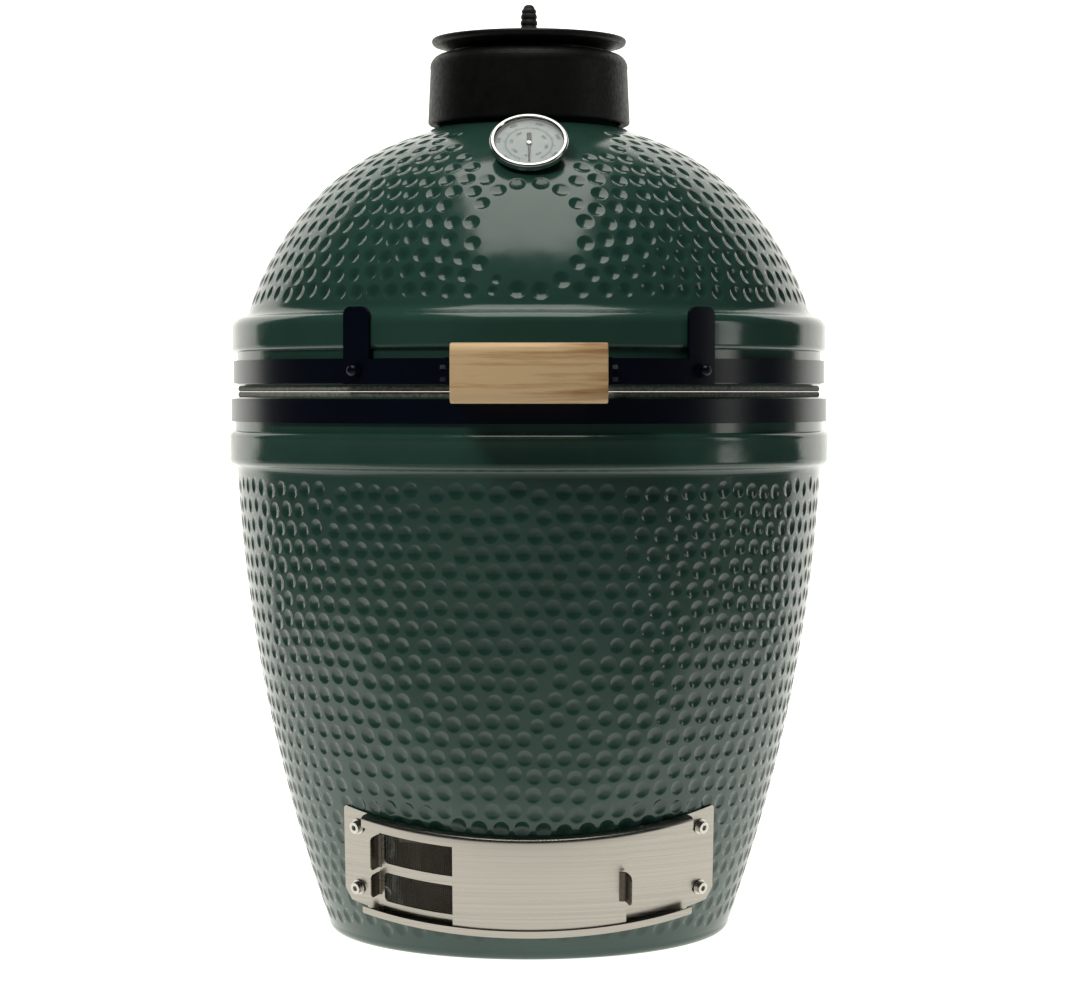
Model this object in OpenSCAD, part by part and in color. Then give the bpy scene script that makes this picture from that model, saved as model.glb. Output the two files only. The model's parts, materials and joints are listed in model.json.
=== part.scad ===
// Ceramic kamado grill, closed, standing on its flat foot.
// The body's axis is Z, the handle and the draft vent face -Y, the hinge is at +Y.

/* [Base] */
// Radius of the flat foot
foot_r = 149; // [146:1:152]
// Outer radius of the base at its rim ring
ring_r = 232.5; // [232:0.5:233.5]
// Height of the base's ceramic rim
rim_z = 413.5; // [413:0.5:414]
// Thickness of the ceramic wall at the rim
wall_t = 20; // [18:1:22]
// Thickness of the ceramic floor
floor_t = 26; // [24:1:28]

/* [Dome] */
// Height of the chimney neck's top
chimney_z = 668; // [664:1:668]
// Outer radius of the chimney neck
chimney_r = 67.5; // [66:0.5:68]
// Radius of the chimney's bore
chimney_bore_r = 50; // [46:1:52]

/* [Bands] */
// Thickness of the felt on each rim
felt_t = 4.1; // [3.5:0.1:4.2]
// Thickness of the steel straps
strap_t = 2; // [1.5:0.1:2.2]
// Height of the steel straps
strap_h = 17.5; // [16:0.5:18]

/* [Handle] */
// Length of the wooden grip
grip_l = 109; // [100:1:112]
// Depth of the grip, front to back
grip_d = 32; // [28:1:34]
// Height of the grip
grip_h = 42; // [38:1:44]
// Distance of the grip's front face from the axis
grip_front = 284.5; // [282:0.5:286]
// Angle of the bracket tabs round the body
tab_a = 32; // [30:1:34]

/* [Draft vent] */
// Radius of the bent vent plate's inner face
vent_r = 190; // [188:1:192]
// Lean of the vent plate
vent_lean = 16; // [15:0.5:17]
// Height of the vent plate along its slope
vent_h = 79; // [76:1:80]
// Angle of the plate's ends
vent_end_a = 45.5; // [44:0.5:46.5]
// Turn of the solid door from its middle position, in degrees
door_at = 0; // [-18:1:16]

/* [Gauge] */
// Outer radius of the bezel
bezel_r = 28.8; // [28:0.2:29]
// Lift of the gauge's axis above the horizontal
gauge_lift = 43.5; // [43:0.5:45]
// Length of the gauge's probe
probe_l = 78; // [60:2:90]

/* [Cap] */
// Outer radius of the cap plate's rim
cap_r = 75.5; // [75:0.5:76]
// Radius of each air hole
air_r = 10.5; // [8:0.5:11]
// Number of air holes
air_n = 5; // [4:1:5]

/* [Hidden] */
$fn = 72;

glaze = "darkgreen";
bisque = "tan";
black_steel = "dimgray";
stainless = "silver";

seam = 0.3;            // gap between the two felts, and between pieces that move past each other
seat_gap = 0.15;       // gap between concentric faces that are clamped together
run_gap = 0.05;        // radial clearance of a turning pin
thread_gap = 0.1;      // radial clearance of a thread

band_seat_r = ring_r - 4;
band_r = band_seat_r + 0.7;
band_z = rim_z - 1 - strap_h;
dome_z = rim_z + 2 * felt_t + seam;
dome_seat_r = ring_r - 5.7;
dome_strap_r = dome_seat_r + 0.7;
dome_band_z = dome_z + 2;
dome_ring_r = ring_r - 1.9;
felt_r = 226;
mouth_r = band_seat_r - wall_t;

hinge_y = 264;
hinge_z = rim_z + felt_t + 0.2;
pin_r = 5;
bracket_t = 3.5;
cheek_t = 4;
base_cheek_x = 46;
dome_cheek_x = 40;
hinge_plate_a = 18.5;
hinge_bolt_a = 15;

arm_r = 231;
arm_t = 3;
arm_h = 18;
arm_z = dome_band_z - 1;
tab_w = 22;
tab_top = 478.5;
grip_z = 430.5;
ear_y = grip_front - grip_d / 2;

sheet_t = 1.2;
screen_r = vent_r + sheet_t + 0.4;
door_r = vent_r + 5.2;
lip_r = vent_r + 6.9;
rail_h = 8;
sill_h = 6;
rail_a = [-38.5, 37.5];
door_a = [-16.4, 21.1];
screen_a = [-35.1, 2.4];
port_a = -17;
vent_bolt_a = 41.3;
vent_bolt_h = [17, 66];

port_w = 96;
port_z = [36, 88];

gauge_y = 143.6;
gauge_z = 601;

cap_z = 679.3;
cap_pivot_y = 73;
air_pitch_r = 33;

// Points of an arc from p to q, without q; its middle stands s to the right of the chord.
function arc(p, q, s, n = 12) =
  let (
    u = (q - p) / norm(q - p),
    side = [u.y, -u.x],
    c = norm(q - p),
    r = (c * c / 4 + s * s) / (2 * s),
    centre = (p + q) / 2 + side * (s - r),
    h = asin(c / (2 * r))
  )
  [for (i = [0:n - 1]) centre + r * (side * cos(h * (2 * i / n - 1)) + u * sin(h * (2 * i / n - 1)))];

// A sheet bent round Z: inner radius, thickness, heights, and angles from -Y towards +X
module bent_sheet(r, t, h0, h1, a0, a1) {
  rotate([0, 0, a0 - 90])
    rotate_extrude(angle = a1 - a0)
      translate([r, h0])
        square([t, h1 - h0]);
}

// A full ring: inner radius, thickness and heights
module ring(r, t, h0, h1) {
  rotate_extrude()
    translate([r, h0])
      square([t, h1 - h0]);
}

// A round bar between two radii, pointing outwards at angle a and height h
module radial_rod(a, h, r0, r1, rad) {
  rotate([0, 0, a])
    translate([0, -r0, h])
      rotate([90, 0, 0])
        cylinder(h = r1 - r0, r = rad);
}

module hex(across, h) {
  cylinder(h = h, d = across / cos(30), $fn = 6);
}

module rounded_rect(w, h, r) {
  square([w - 2 * r, h], center = true);
  square([w, h - 2 * r], center = true);
  for (x = [-1, 1], y = [-1, 1])
    translate([x * (w / 2 - r), y * (h / 2 - r)])
      circle(r);
}

// ---- Base ----

wall_foot = [foot_r + 7.4, 7];
wall_top = [ring_r - 6.1, rim_z - 57];
inner_top = [mouth_r, rim_z - 9];
inner_foot = [foot_r - 1, floor_t + 22];

module base_profile() {
  polygon(concat(
    [[0, 0]],
    arc([foot_r, 0], wall_foot, 2.2, 5),
    arc(wall_foot, wall_top, 12.8, 14),
    arc(wall_top, wall_top + [3.1, 5.3], -0.8, 4),
    arc(wall_top + [3.1, 5.3], [ring_r, rim_z - 45.5], 1.2, 4),
    [[ring_r, rim_z - 45.5]],
    arc([ring_r - 0.7, rim_z - 29.5], [band_seat_r, rim_z - 25.5], 1.2, 4),
    [
      [band_seat_r, rim_z - 25.5],
      [band_seat_r, rim_z - 1.5],
      [band_seat_r - 1.5, rim_z],
      [mouth_r + 1.5, rim_z],
      [mouth_r, rim_z - 1.5]
    ],
    arc(inner_top, inner_foot, -12.3, 12),
    arc(inner_foot, [foot_r - 32, floor_t], -7, 6),
    [[foot_r - 32, floor_t], [0, floor_t]]
  ));
}

module base_shell() {
  color(glaze)
    difference() {
      rotate_extrude()
        base_profile();
      rotate([0, 0, port_a])
        translate([-port_w / 2, -foot_r - 60, port_z[0]])
          cube([port_w, 110, port_z[1] - port_z[0]]);
      vent_frame_place()
        for (s = [-1, 1], h = vent_bolt_h)
          radial_rod(s * vent_bolt_a, h, vent_r - 26, vent_r + 12, 4.2);
    }
}

firebox_z = floor_t + seam;
firebox_top = 286;
ash_r = 84;
ledge_z = 104;

module firebox() {
  color(bisque)
    difference() {
      rotate_extrude()
        polygon(concat(
          [[0, firebox_z], [108, firebox_z]],
          arc([108, firebox_z], [129, 58], 6, 5),
          arc([129, 58], [178, firebox_top], 9, 10),
          [[178, firebox_top], [158, firebox_top], [158, firebox_top - 12]],
          arc([158, firebox_top - 12], [118, 118], -9, 10),
          [[118, 118], [106, ledge_z], [ash_r, ledge_z], [ash_r, 46], [0, 46]]
        ));
      rotate([0, 0, port_a])
        translate([-port_w / 2, -foot_r - 20, 46])
          cube([port_w, 110, 46]);
    }
}

module fire_ring() {
  color(bisque)
    rotate_extrude()
      polygon([
        [160, firebox_top + seam], [179, firebox_top + seam], [190, 372], [190, 378], [172, 378], [170, 372]
      ]);
}

module slotted_disc(r, bar, pitch, rim, n) {
  difference() {
    circle(r);
    intersection() {
      circle(r - rim);
      for (i = [-n:n])
        translate([i * pitch - (pitch - bar) / 2, -r])
          square([pitch - bar, 2 * r]);
    }
  }
}

module fire_grate() {
  color(black_steel)
    translate([0, 0, ledge_z])
      linear_extrude(9) {
        slotted_disc(101, 8, 17, 12, 5);
        square([202 - 12, 10], center = true);
      }
}

module cooking_grid() {
  color(stainless)
    translate([0, 0, 378])
      linear_extrude(7) {
        slotted_disc(188.5, 5, 15.5, 7, 12);
        for (y = [-70, 0, 70])
          translate([0, y])
            square([2 * sqrt(188.5 * 188.5 - y * y) - 8, 6], center = true);
      }
}

module base_gasket() {
  color("gray")
    ring(mouth_r + 1.5, felt_r - mouth_r - 1.5, rim_z, rim_z + felt_t);
}

// A strap round the body, open at the back, with a hole for each bolt
module strap(r, z, bolts_front) {
  difference() {
    bent_sheet(r, strap_t, z, z + strap_h, -169, 169);
    for (s = [-1, 1])
      radial_rod(180 + s * hinge_bolt_a, z + strap_h / 2, r - 5, r + 8, 3.1);
    if (bolts_front)
      for (s = [-1, 1])
        radial_rod(s * tab_a, z + strap_h / 2, r - 5, r + 8, 3.1);
  }
}

module base_band() {
  color(black_steel)
    strap(band_r, band_z, false);
}

// ---- Hinge ----

// The two cheeks of a bracket, at +-x, with their outline in the Y-Z plane
module cheeks(x) {
  for (s = [-1, 1])
    translate([s * (x + cheek_t / 2) - cheek_t / 2, 0, 0])
      rotate([90, 0, 90])
        linear_extrude(cheek_t)
          children();
}

module hinge_bracket(r, z, h, x, eye_r, foot_z, head_z) {
  difference() {
    union() {
      bent_sheet(r, bracket_t, z, z + h, 180 - hinge_plate_a, 180 + hinge_plate_a);
      cheeks(x) {
        translate([hinge_y, hinge_z])
          circle(eye_r);
        polygon([
          [r - 3.5, foot_z], [r - 3.5, head_z], [hinge_y, hinge_z + eye_r - 0.5],
          [hinge_y, hinge_z - eye_r + 0.5], [hinge_y - 18, foot_z]
        ]);
      }
    }
    translate([-80, hinge_y, hinge_z])
      rotate([0, 90, 0])
        cylinder(h = 160, r = pin_r + run_gap);
    for (s = [-1, 1])
      radial_rod(180 + s * hinge_bolt_a, z + h / 2, r - 5, r + 10, 3.1);
  }
}

base_bracket_r = band_r + strap_t + seat_gap;
dome_bracket_r = dome_strap_r + strap_t + seat_gap;
base_bracket_z = band_z - 1.5;
dome_bracket_z = dome_band_z - 1.5;
hinge_plate_h = strap_h + 3;

module hinge_base_bracket() {
  color(black_steel)
    hinge_bracket(base_bracket_r, base_bracket_z, hinge_plate_h, base_cheek_x, 11, 394, rim_z - 1);
}

module hinge_dome_bracket() {
  color(black_steel)
    hinge_bracket(dome_bracket_r, dome_bracket_z, hinge_plate_h, dome_cheek_x, 10, dome_z + 1, 440);
}

module hinge_bolt_pair(r, bracket, z) {
  for (s = [-1, 1])
    rotate([0, 0, 180 + s * hinge_bolt_a])
      translate([0, -r, z])
        rotate([90, 0, 0]) {
          cylinder(h = bracket - r + bracket_t + 1, r = 3);
          translate([0, 0, bracket - r + bracket_t + seat_gap])
            hex(10, 5);
        }
}

module hinge_base_bolts() {
  color(stainless)
    hinge_bolt_pair(band_r + 0.2, base_bracket_r, band_z + strap_h / 2);
}

module hinge_dome_bolts() {
  color(stainless)
    hinge_bolt_pair(dome_strap_r + 0.2, dome_bracket_r, dome_band_z + strap_h / 2);
}

pin_reach = base_cheek_x + cheek_t;

module hinge_pin() {
  color(stainless)
    translate([-pin_reach, hinge_y, hinge_z])
      rotate([0, 90, 0]) {
        cylinder(h = 2 * pin_reach + 9, r = pin_r);
        translate([0, 0, -6])
          hex(16, 6);
      }
}

module hinge_pin_nut() {
  color(stainless)
    translate([pin_reach, hinge_y, hinge_z])
      rotate([0, 90, 0])
        difference() {
          hex(16, 7);
          translate([0, 0, -1])
            cylinder(h = 9, r = pin_r + thread_gap);
        }
}

coil_r = 10;
coil_wire_r = 2;
coil_turns = 5.5;
coil_pitch = 4.3;
coil_step = 30;
coil_leg_end = [[238.5, 403], [237.5, 433]];

// Path of one spring in [y, z, x]: a leg, the coil, a leg
function coil_path() = concat(
  [[coil_leg_end[0].x, coil_leg_end[0].y, 0]],
  [for (t = [0:coil_step:360 * coil_turns])
    [hinge_y + coil_r * sin(t), hinge_z - coil_r * cos(t), coil_pitch * t / 360]],
  [[coil_leg_end[1].x, coil_leg_end[1].y, coil_pitch * coil_turns]]
);

// A round wire swept along a path, as one closed mesh
module wire(path, r, sides = 8) {
  n = len(path);
  function dir(i) =
    let (d = path[min(i + 1, n - 1)] - path[max(i - 1, 0)])
    d / norm(d);
  function around(i) =
    let (
      d = dir(i),
      a = cross(d, [0, 0, 1]) / norm(cross(d, [0, 0, 1])),
      b = cross(d, a)
    )
    [for (k = [0:sides - 1]) path[i] + r * (a * cos(360 * k / sides) + b * sin(360 * k / sides))];
  polyhedron(
    points = [for (i = [0:n - 1]) each around(i)],
    faces = concat(
      [[for (k = [0:sides - 1]) k]],
      [for (i = [0:n - 2], k = [0:sides - 1])
        [i * sides + k, (i + 1) * sides + k, (i + 1) * sides + (k + 1) % sides, i * sides + (k + 1) % sides]],
      [[for (k = [sides - 1:-1:0]) (n - 1) * sides + k]]
    )
  );
}

module hinge_springs() {
  color(stainless)
    for (x0 = [-37, 37 - coil_pitch * coil_turns])
      wire([for (p = coil_path()) [x0 + p.z, p.x, p.y]], coil_wire_r);
}

// ---- Dome ----

shoulder = [dome_ring_r - 13.9, dome_z + 60];
waist = [172.7, 559.6];
crown = [92.3, 614];
neck = [74.6, 621.3];

module dome_profile() {
  polygon(concat(
    [
      [mouth_r + 1.5, dome_z],
      [dome_seat_r - 1.5, dome_z],
      [dome_seat_r, dome_z + 1.5],
      [dome_seat_r, dome_z + 26]
    ],
    arc([dome_seat_r, dome_z + 26], [dome_ring_r, dome_z + 30], 1.2, 4),
    [[dome_ring_r, dome_z + 30]],
    arc([dome_ring_r, dome_z + 44.5], [222.5, dome_z + 53], 2.4, 5),
    arc([222.5, dome_z + 53], shoulder, -1.1, 4),
    arc(shoulder, waist, 4.4, 8),
    arc(waist, crown, 6.6, 9),
    [crown],
    arc(neck, [chimney_r, 627], -1.6, 4),
    [[chimney_r, 627], [chimney_r, chimney_z], [chimney_bore_r, chimney_z]],
    arc([chimney_bore_r, 614], [66, 600], 2.2, 4),
    arc([66, 600], [156.2, 543.5], -7.6, 10),
    arc([156.2, 543.5], [198, 472], -4.4, 8),
    [[198, 472], [mouth_r, dome_z + 24], [mouth_r, dome_z + 1.5]]
  ));
}

module dome_shell() {
  color(glaze)
    difference() {
      rotate_extrude()
        dome_profile();
      gauge_place()
        translate([0, 0, -60])
          cylinder(h = 70, r = 5);
    }
}

module dome_gasket() {
  color("gray")
    ring(mouth_r + 1.5, felt_r - mouth_r - 1.5, dome_z - felt_t, dome_z);
}

module dome_band() {
  color(black_steel)
    strap(dome_strap_r, dome_band_z, true);
}

// ---- Handle ----

ear_in = grip_l / 2;
ear_lip = 0.4;         // how much taller the ear is than the arm, above and below
ear_a = asin((ear_in + arm_t / 2) / (arm_r + arm_t / 2));
arm_x = (arm_r + arm_t / 2) * sin(tab_a - ear_a);

// Tab and arm, seen along the tab's own direction
module arm_outline() {
  translate([-tab_w / 2, arm_z])
    square([tab_w, tab_top - arm_z - 6]);
  translate([0, tab_top - 10])
    rounded_rect(tab_w, 20, 6);
  translate([-arm_x, arm_z])
    square([arm_x, arm_h]);
}

// Tab, arm and ear of the bracket on the +X side
module handle_bracket() {
  difference() {
    union() {
      intersection() {
        ring(arm_r, arm_t, arm_z - 1, tab_top + 1);
        rotate([0, 0, tab_a])
          rotate([90, 0, 0])
            linear_extrude(arm_r + 20)
              arm_outline();
      }
      translate([ear_in, -ear_y - 12, arm_z - ear_lip])
        cube([arm_t, ear_y + 12 - sqrt((arm_r + 1) * (arm_r + 1) - ear_in * ear_in), arm_h + 2 * ear_lip]);
    }
    radial_rod(tab_a, dome_band_z + strap_h / 2, arm_r - 5, arm_r + 10, 3.1);
    translate([ear_in - 1, -ear_y, grip_z])
      rotate([0, 90, 0])
        cylinder(h = arm_t + 2, r = 3.1);
  }
}

module handle_bracket_right() {
  color(black_steel)
    handle_bracket();
}

module handle_bracket_left() {
  color(black_steel)
    mirror([1, 0, 0])
      handle_bracket();
}

module bracket_bolts() {
  color(black_steel)
    for (s = [-1, 1])
      rotate([0, 0, s * tab_a])
        translate([0, -arm_r - arm_t - seat_gap, dome_band_z + strap_h / 2])
          rotate([90, 0, 0]) {
            translate([0, 0, dome_strap_r + 0.2 - arm_r - arm_t])
              cylinder(h = arm_r + arm_t - dome_strap_r + 1, r = 3);
            hex(10, 3.5);
            translate([0, 0, 3.5])
              intersection() {
                sphere(r = 4.4);
                translate([0, 0, 2.9])
                  cube([10, 10, 6], center = true);
              }
          }
}

module handle_grip() {
  color("burlywood")
    difference() {
      translate([-grip_l / 2, -ear_y, grip_z])
        rotate([90, 0, 90])
          linear_extrude(grip_l)
            rounded_rect(grip_d, grip_h, 7);
      for (s = [-1, 1])
        translate([s * grip_l / 2, -ear_y, grip_z])
          rotate([0, -s * 90, 0])
            translate([0, 0, -1])
              cylinder(h = 27, r = 3 + thread_gap);
    }
}

module handle_bolts() {
  color(stainless)
    for (s = [-1, 1])
      translate([s * (ear_in + arm_t), -ear_y, grip_z])
        rotate([0, s * 90, 0]) {
          translate([0, 0, -27])
            cylinder(h = 28, r = 3);
          hex(10, 4);
        }
}

// ---- Draft vent ----

// The vent's own frame: Z along the plate's slope, the plate's inner face at radius vent_r
vent_foot = [-164.5, 20.8];

module vent_frame_place() {
  translate([0, vent_foot.x + vent_r * cos(vent_lean), vent_foot.y + vent_r * sin(vent_lean)])
    rotate([vent_lean, 0, 0])
      children();
}

window_a = [-34, -0.5];
opening_h = [8.5, 71];

lip_end = lip_r + sheet_t;

// Section through the plate and its two hooked rails
module vent_section() {
  polygon([
    [vent_r, 0], [lip_end, 0], [lip_end, sill_h], [lip_r, sill_h], [lip_r, sheet_t], [vent_r + sheet_t, sheet_t],
    [vent_r + sheet_t, vent_h - sheet_t], [lip_r, vent_h - sheet_t], [lip_r, vent_h - rail_h],
    [lip_end, vent_h - rail_h], [lip_end, vent_h], [vent_r, vent_h]
  ]);
}

// What is cut away beyond the rails' ends, from angle a0 to a1
module vent_end_cut(a0, a1) {
  rotate([0, 0, a0 - 90])
    rotate_extrude(angle = a1 - a0)
      polygon([
        [vent_r - 5, -1], [lip_end + 5, -1], [lip_end + 5, vent_h + 1], [vent_r + sheet_t + 0.02, vent_h + 1],
        [vent_r + sheet_t + 0.02, 4], [vent_r - 5, 4]
      ]);
}

module vent_slot(s, h) {
  rotate([0, 0, s * (vent_bolt_a - 0.3)])
    translate([0, -vent_r + 5, h])
      rotate([90, 0, 0])
        linear_extrude(10)
          rounded_rect(13.4, 6.2, 3);
}

module vent_frame() {
  color(stainless)
    vent_frame_place()
      difference() {
        rotate([0, 0, -vent_end_a - 90])
          rotate_extrude(angle = 2 * vent_end_a)
            vent_section();
        vent_end_cut(-vent_end_a - 1, rail_a[0]);
        vent_end_cut(rail_a[1], vent_end_a + 1);
        bent_sheet(vent_r - 2, sheet_t + 3, opening_h[0], opening_h[1], window_a[0], window_a[1]);
        for (s = [-1, 1], h = vent_bolt_h)
          vent_slot(s, h);
        for (s = [-1, 1])
          rotate([0, 0, s * vent_end_a])
            translate([0, -vent_r, 4])
              rotate([0, s * -35, 0])
                cube([30, 40, 12], center = true);
      }
}

module vent_bolts() {
  color(stainless)
    vent_frame_place()
      for (s = [-1, 1], h = vent_bolt_h)
        rotate([0, 0, s * vent_bolt_a])
          translate([0, -vent_r - sheet_t - 1.2, h])
            rotate([90, 0, 0])
              difference() {
                union() {
                  translate([0, 0, -20])
                    cylinder(h = 21, r = 2.9);
                  cylinder(h = 3.6, r = 4.4);
                }
                translate([0, 0, 1.6])
                  hex(4, 3);
              }
}

module vent_washers() {
  color(stainless)
    vent_frame_place()
      for (s = [-1, 1], h = vent_bolt_h)
        rotate([0, 0, s * vent_bolt_a])
          translate([0, -vent_r - sheet_t - 0.1, h])
            rotate([90, 0, 0])
              difference() {
                cylinder(h = 1, r = 5.7);
                translate([0, 0, -1])
                  cylinder(h = 3, r = 3.1);
              }
}

module vent_anchors() {
  color("goldenrod")
    vent_frame_place()
      for (s = [-1, 1], h = vent_bolt_h)
        rotate([0, 0, s * vent_bolt_a])
          translate([0, -vent_r + 25, h])
            rotate([90, 0, 0])
              difference() {
                cylinder(h = 17, r = 4.1);
                translate([0, 0, 2])
                  cylinder(h = 16, r = 2.9 + thread_gap);
              }
}

door_h = [1.7, vent_h - 1.7];
tab_h = [25, 48];

module vent_door() {
  color(stainless)
    vent_frame_place()
      rotate([0, 0, door_at]) {
        bent_sheet(door_r, sheet_t, door_h[0], door_h[1], door_a[0], door_a[1]);
        rotate([0, 0, door_a[1]])
          translate([-sheet_t, -door_r - 13, tab_h[0]])
            cube([sheet_t, 12.6, tab_h[1] - tab_h[0]]);
        rotate([0, 0, door_a[1]])
          translate([-sheet_t, -door_r - 1, tab_h[0]])
            cube([sheet_t, 1.2, tab_h[1] - tab_h[0]]);
      }
}

screen_h = [9.5, vent_h - 1.7];
pane_a = [-33.4, 0.7];
pane_h = [[13.6, 36.9], [44.3, 68.2]];

module vent_screen_door() {
  color(stainless)
    vent_frame_place() {
      difference() {
        bent_sheet(screen_r, 1, screen_h[0], screen_h[1], screen_a[0], screen_a[1]);
        for (h = pane_h)
          bent_sheet(screen_r - 2, 5, h[0], h[1], pane_a[0], pane_a[1]);
      }
      for (a = [[screen_a[0], screen_a[0] + 1.4], [screen_a[1] - 1.4, screen_a[1]]])
        bent_sheet(screen_r, 1, door_h[0], screen_h[0] + 1, a[0], a[1]);
      for (h = [[18, 36], [40, 66]])
        bent_sheet(screen_r, 10.5, h[0], h[1], screen_a[0] - 0.3, screen_a[0] + 0.1);
    }
}

module vent_mesh() {
  color("dimgray")
    vent_frame_place()
      for (h = pane_h)
        bent_sheet(screen_r + 0.2, 0.6, h[0], h[1], pane_a[0], pane_a[1]);
}

// ---- Gauge ----

// The gauge's own frame: Z out of the dial, the glass at zero
module gauge_place() {
  translate([0, -gauge_y, gauge_z])
    rotate([90 - gauge_lift, 0, 0])
      children();
}

module gauge_housing() {
  color("black")
    gauge_place()
      rotate_extrude()
        polygon([
          [3.2, -6.5], [26, -6.5], [27, -5.5], [27, -0.8], [26, -0.8], [26, -5.3], [3.2, -5.3]
        ]);
}

module gauge_bezel() {
  color("silver")
    gauge_place()
      rotate_extrude()
        polygon(concat(
          [[27.15, -3.8], [bezel_r - 0.4, -3.8], [bezel_r, -3.4]],
          arc([bezel_r, -0.4], [bezel_r - 2, 1.6], 0.8, 5),
          [[bezel_r - 2, 1.6], [bezel_r - 2.8, 1.6], [bezel_r - 3.3, 0.65], [27.15, 0.65]]
        ));
}

module gauge_dial() {
  color("white")
    gauge_place()
      ring(1.6, 24.2, -3.6, -3);
}

module gauge_glass() {
  color("lightblue", 0.3)
    gauge_place()
      translate([0, 0, -0.7])
        cylinder(h = 1.2, r = 26.9);
}

module gauge_needle() {
  color("black")
    gauge_place()
      translate([0, 0, -2.4]) {
        cylinder(h = 1, r = 2);
        linear_extrude(0.7) {
          polygon([[-0.9, 0], [-0.5, -19.5], [0.5, -19.5], [0.9, 0]]);
          translate([-1.7, 0])
            square([3.4, 11]);
        }
        translate([0, 0, -2.4])
          cylinder(h = 3, r = 1.2);
      }
}

module gauge_stem() {
  color("silver")
    gauge_place()
      difference() {
        translate([0, 0, -probe_l])
          cylinder(h = probe_l - 4, r = 3);
        translate([0, 0, -12])
          cylinder(h = 12, r = 1.2 + run_gap);
      }
}

module gauge_nut() {
  color("silver")
    gauge_place()
      translate([0, 0, -9.4])
        difference() {
          hex(13, 2.8);
          translate([0, 0, -1])
            cylinder(h = 5, r = 3 + thread_gap);
        }
}

module gauge_clip() {
  color("silver")
    gauge_place()
      translate([0, 0, -42])
        rotate_extrude()
          polygon([[3.1, 0], [10, 1.2], [10, 2.2], [3.1, 1.2]]);
}

// ---- Chimney, collar and cap ----

module chimney_gasket() {
  color("gray")
    ring(chimney_r + seat_gap, 3.8, 631, 665);
}

collar_in = chimney_r + 4.2;
pivot_end_z = chimney_z + 2;

module vent_collar() {
  color("black")
    difference() {
      union() {
        rotate_extrude()
          polygon(concat(
            [[collar_in, 625.5], [collar_in + 3, 624.5]],
            arc([76, 624.5], [78.4, 627.5], 0.9, 4),
            [[78.4, 627.5]],
            arc([76.6, 667], [69, 679], 2.8, 8),
            [[69, 679], [chimney_bore_r, 679], [chimney_bore_r, chimney_z + 0.5], [collar_in, chimney_z + 0.5]]
          ));
        translate([0, cap_pivot_y, 655])
          cylinder(h = 24, r = 9);
      }
      translate([0, cap_pivot_y, pivot_end_z - 1])
        cylinder(h = 20, r = 3 + thread_gap);
      cylinder(h = chimney_z + 0.5, r = collar_in);
    }
}

module cap_pivot_bolt() {
  color(stainless)
    translate([0, cap_pivot_y, 0]) {
      translate([0, 0, pivot_end_z])
        cylinder(h = 693 - pivot_end_z, r = 3);
      translate([0, 0, 692.3])
        hex(10, 4);
    }
}

wheel_z = 688.6;

module cap_plate() {
  color("black")
    difference() {
      union() {
        rotate_extrude()
          polygon(concat(
            [[0, 684], [54, 684], [54, cap_z], [60, cap_z], [60.4, 681.6]],
            arc([60.4, 681.6], [72.5, 686], -0.9, 5),
            arc([72.5, 686], [cap_r, 689], 0.8, 4),
            arc([cap_r, 689], [73.3, 691.6], 0.9, 4),
            [[73.3, 691.6], [64, 691.9], [63, 691.4], [63, wheel_z - seam], [0, wheel_z - seam]]
          ));
        translate([0, cap_pivot_y, cap_z])
          cylinder(h = 692 - cap_z, r = 9);
      }
      translate([0, cap_pivot_y, cap_z - 1])
        cylinder(h = 20, r = 3 + run_gap);
      for (i = [0:air_n - 1])
        rotate([0, 0, 360 * i / air_n + 90])
          translate([air_pitch_r, 0, cap_z])
            cylinder(h = 20, r = air_r);
      translate([0, 0, cap_z])
        cylinder(h = 20, r = 3 + run_gap);
    }
}

module daisy_wheel() {
  color("black")
    difference() {
      rotate_extrude()
        polygon(concat(
          [[0, wheel_z], [61.5, wheel_z], [62.4, wheel_z + 1]],
          arc([62.4, 691.4], [0, 693.6], 0.3, 5),
          [[0, 693.6]]
        ));
      for (i = [0:air_n - 1])
        rotate([0, 0, 360 * (i + 0.5) / air_n + 90])
          translate([air_pitch_r, 0, cap_z])
            cylinder(h = 20, r = air_r);
      translate([0, 0, cap_z])
        cylinder(h = 20, r = 3 + thread_gap);
    }
}

knob_z = 693.8;

module cap_knob() {
  color("black")
    difference() {
      rotate_extrude()
        polygon(concat(
          [[0, knob_z], [5.6, knob_z], [5.9, knob_z + 2.6]],
          arc([5.9, knob_z + 2.6], [5.9, knob_z + 7.4], 0.8, 5),
          arc([5.8, knob_z + 8], [5.8, knob_z + 12.4], 0.8, 5),
          arc([5.6, knob_z + 13], [5.6, knob_z + 17], 0.7, 5),
          arc([5.3, knob_z + 17.6], [4.9, knob_z + 21], 0.6, 5),
          arc([4.4, knob_z + 21.5], [0, knob_z + 24.4], 1.2, 5),
          [[0, knob_z + 24.4]]
        ));
      translate([0, 0, knob_z - 1])
        cylinder(h = 16, r = 3 + thread_gap);
    }
}

module cap_knob_bolt() {
  color(stainless) {
    translate([0, 0, 680.2])
      cylinder(h = knob_z + 14 - 680.2, r = 3);
  }
}

module cap_knob_nut() {
  color(stainless)
    translate([0, 0, 680.2])
      difference() {
        hex(10, 3.5);
        translate([0, 0, -1])
          cylinder(h = 6, r = 3 + thread_gap);
      }
}

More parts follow.
